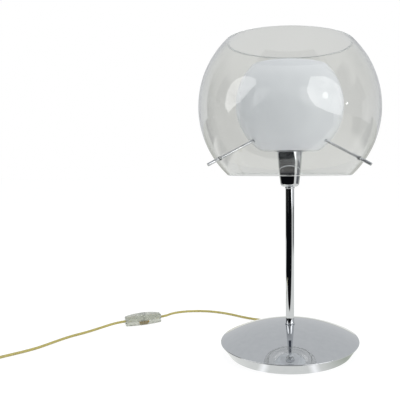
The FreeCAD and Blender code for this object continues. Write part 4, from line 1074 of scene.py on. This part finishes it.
def screen(azimuths, rises, distance):
    """Builder of a curved card between two azimuths and two or more rises."""
    start, end = azimuths
    steps = 24

    def build(work):
        rows = [[work.verts.new(toward(start + (end - start) * index / steps, rise, distance))
                 for index in range(steps + 1)] for rise in rises]
        for low, high in zip(rows, rows[1:]):
            for index in range(steps):
                work.faces.new((low[index], low[index + 1], high[index + 1], high[index]))
    return build


def umbrella(hub, edge, distance):
    """Builder of an umbrella's panels, with narrow gaps between them where its ribs are."""
    def build(work):
        for first, second in zip(edge, edge[1:]):
            corners = [toward(*corner, distance) for corner in (hub, first, second)]
            middle = sum(corners, Vector()) / 3
            work.faces.new([work.verts.new(corner.lerp(middle, PANEL_GAP)) for corner in corners])
    return build


def round_lamp(centre, radius, distance):
    """Builder of a small round lamp, seen round a direction and as wide as an angle."""
    turns = [math.radians(degrees) for degrees in range(0, 361, 30)]
    edge = [(centre[0] + radius * math.cos(turn), centre[1] + radius * math.sin(turn)) for turn in turns]
    return umbrella(centre, edge, distance)


def make_cards():
    """The room, two white umbrellas, the flashes at the right one and the stands under the left one."""
    make_card("dark_room", None, 1.0, screen((-118, 118), (-12, 10, 44), 3.0))
    make_card("dim_ceiling_behind_camera", "#4A4E58", 1.0, screen((-50, 50), (38, 50, 62), 3.2))
    left_edge = [(-76, -3), (-81, 5), (-78, 17), (-73, 25), (-63, 30), (-50, 31), (-41, 29), (-39, 23)]
    right_edge = [(62, 20), (54, 27), (45, 31), (26, 31), (20, 17), (22, 8), (30, -1), (44, -6), (64, -8),
                  (65, 8), (62, 20)]
    make_card("left_umbrella", "#FFFFFF", 2.2, umbrella((-56, 7), left_edge, 2.1))
    make_card("right_umbrella", "#FFFFFF", 2.2, umbrella((55, 17), right_edge, 2.0))
    make_card("flash_glow", "#FFFFFF", 5.0, round_lamp((42, 11), 3.6, 1.9))
    make_card("flash_bulb", "#FFFFFF", 25.0, round_lamp((69.5, 4.6), 1.1, 1.8))
    for azimuth, code in ((-73, "#6C6D66"), (-44, "#B9BAB6")):
        pole = screen((azimuth - 0.8, azimuth + 0.8), (-12, 8), 2.4)
        make_card("light_stand_%d" % -azimuth, code, 1.0, pole)


def make_lamp_light(name, place, size, power):
    """A soft light aimed at the lamp; shiny pieces see the cards instead of it."""
    data = bpy.data.lights.new(name, "AREA")
    data.shape = "RECTANGLE"
    data.size, data.size_y = size
    data.energy = power
    light = bpy.data.objects.new(name, data)
    bpy.context.scene.collection.objects.link(light)
    turn = (LIGHT_TARGET - Vector(place)).to_track_quat("-Z", "Y").to_matrix().to_4x4()
    light.matrix_world = Matrix.Translation(place) @ turn
    light.visible_glossy = False
    light.visible_transmission = False
    light.visible_camera = False


make_world()
make_floor()
make_cards()
make_lamp_light("right_softbox_light", (1.35, -0.9, 0.85), (0.9, 0.9), 9.0)
make_lamp_light("left_umbrella_light", (-1.35, -0.8, 0.8), (0.8, 0.8), 4.0)
make_lamp_light("top_light", (0.0, 0.4, 1.7), (1.2, 1.2), 8.0)

view = bpy.context.scene.view_settings
view.view_transform = "Standard"
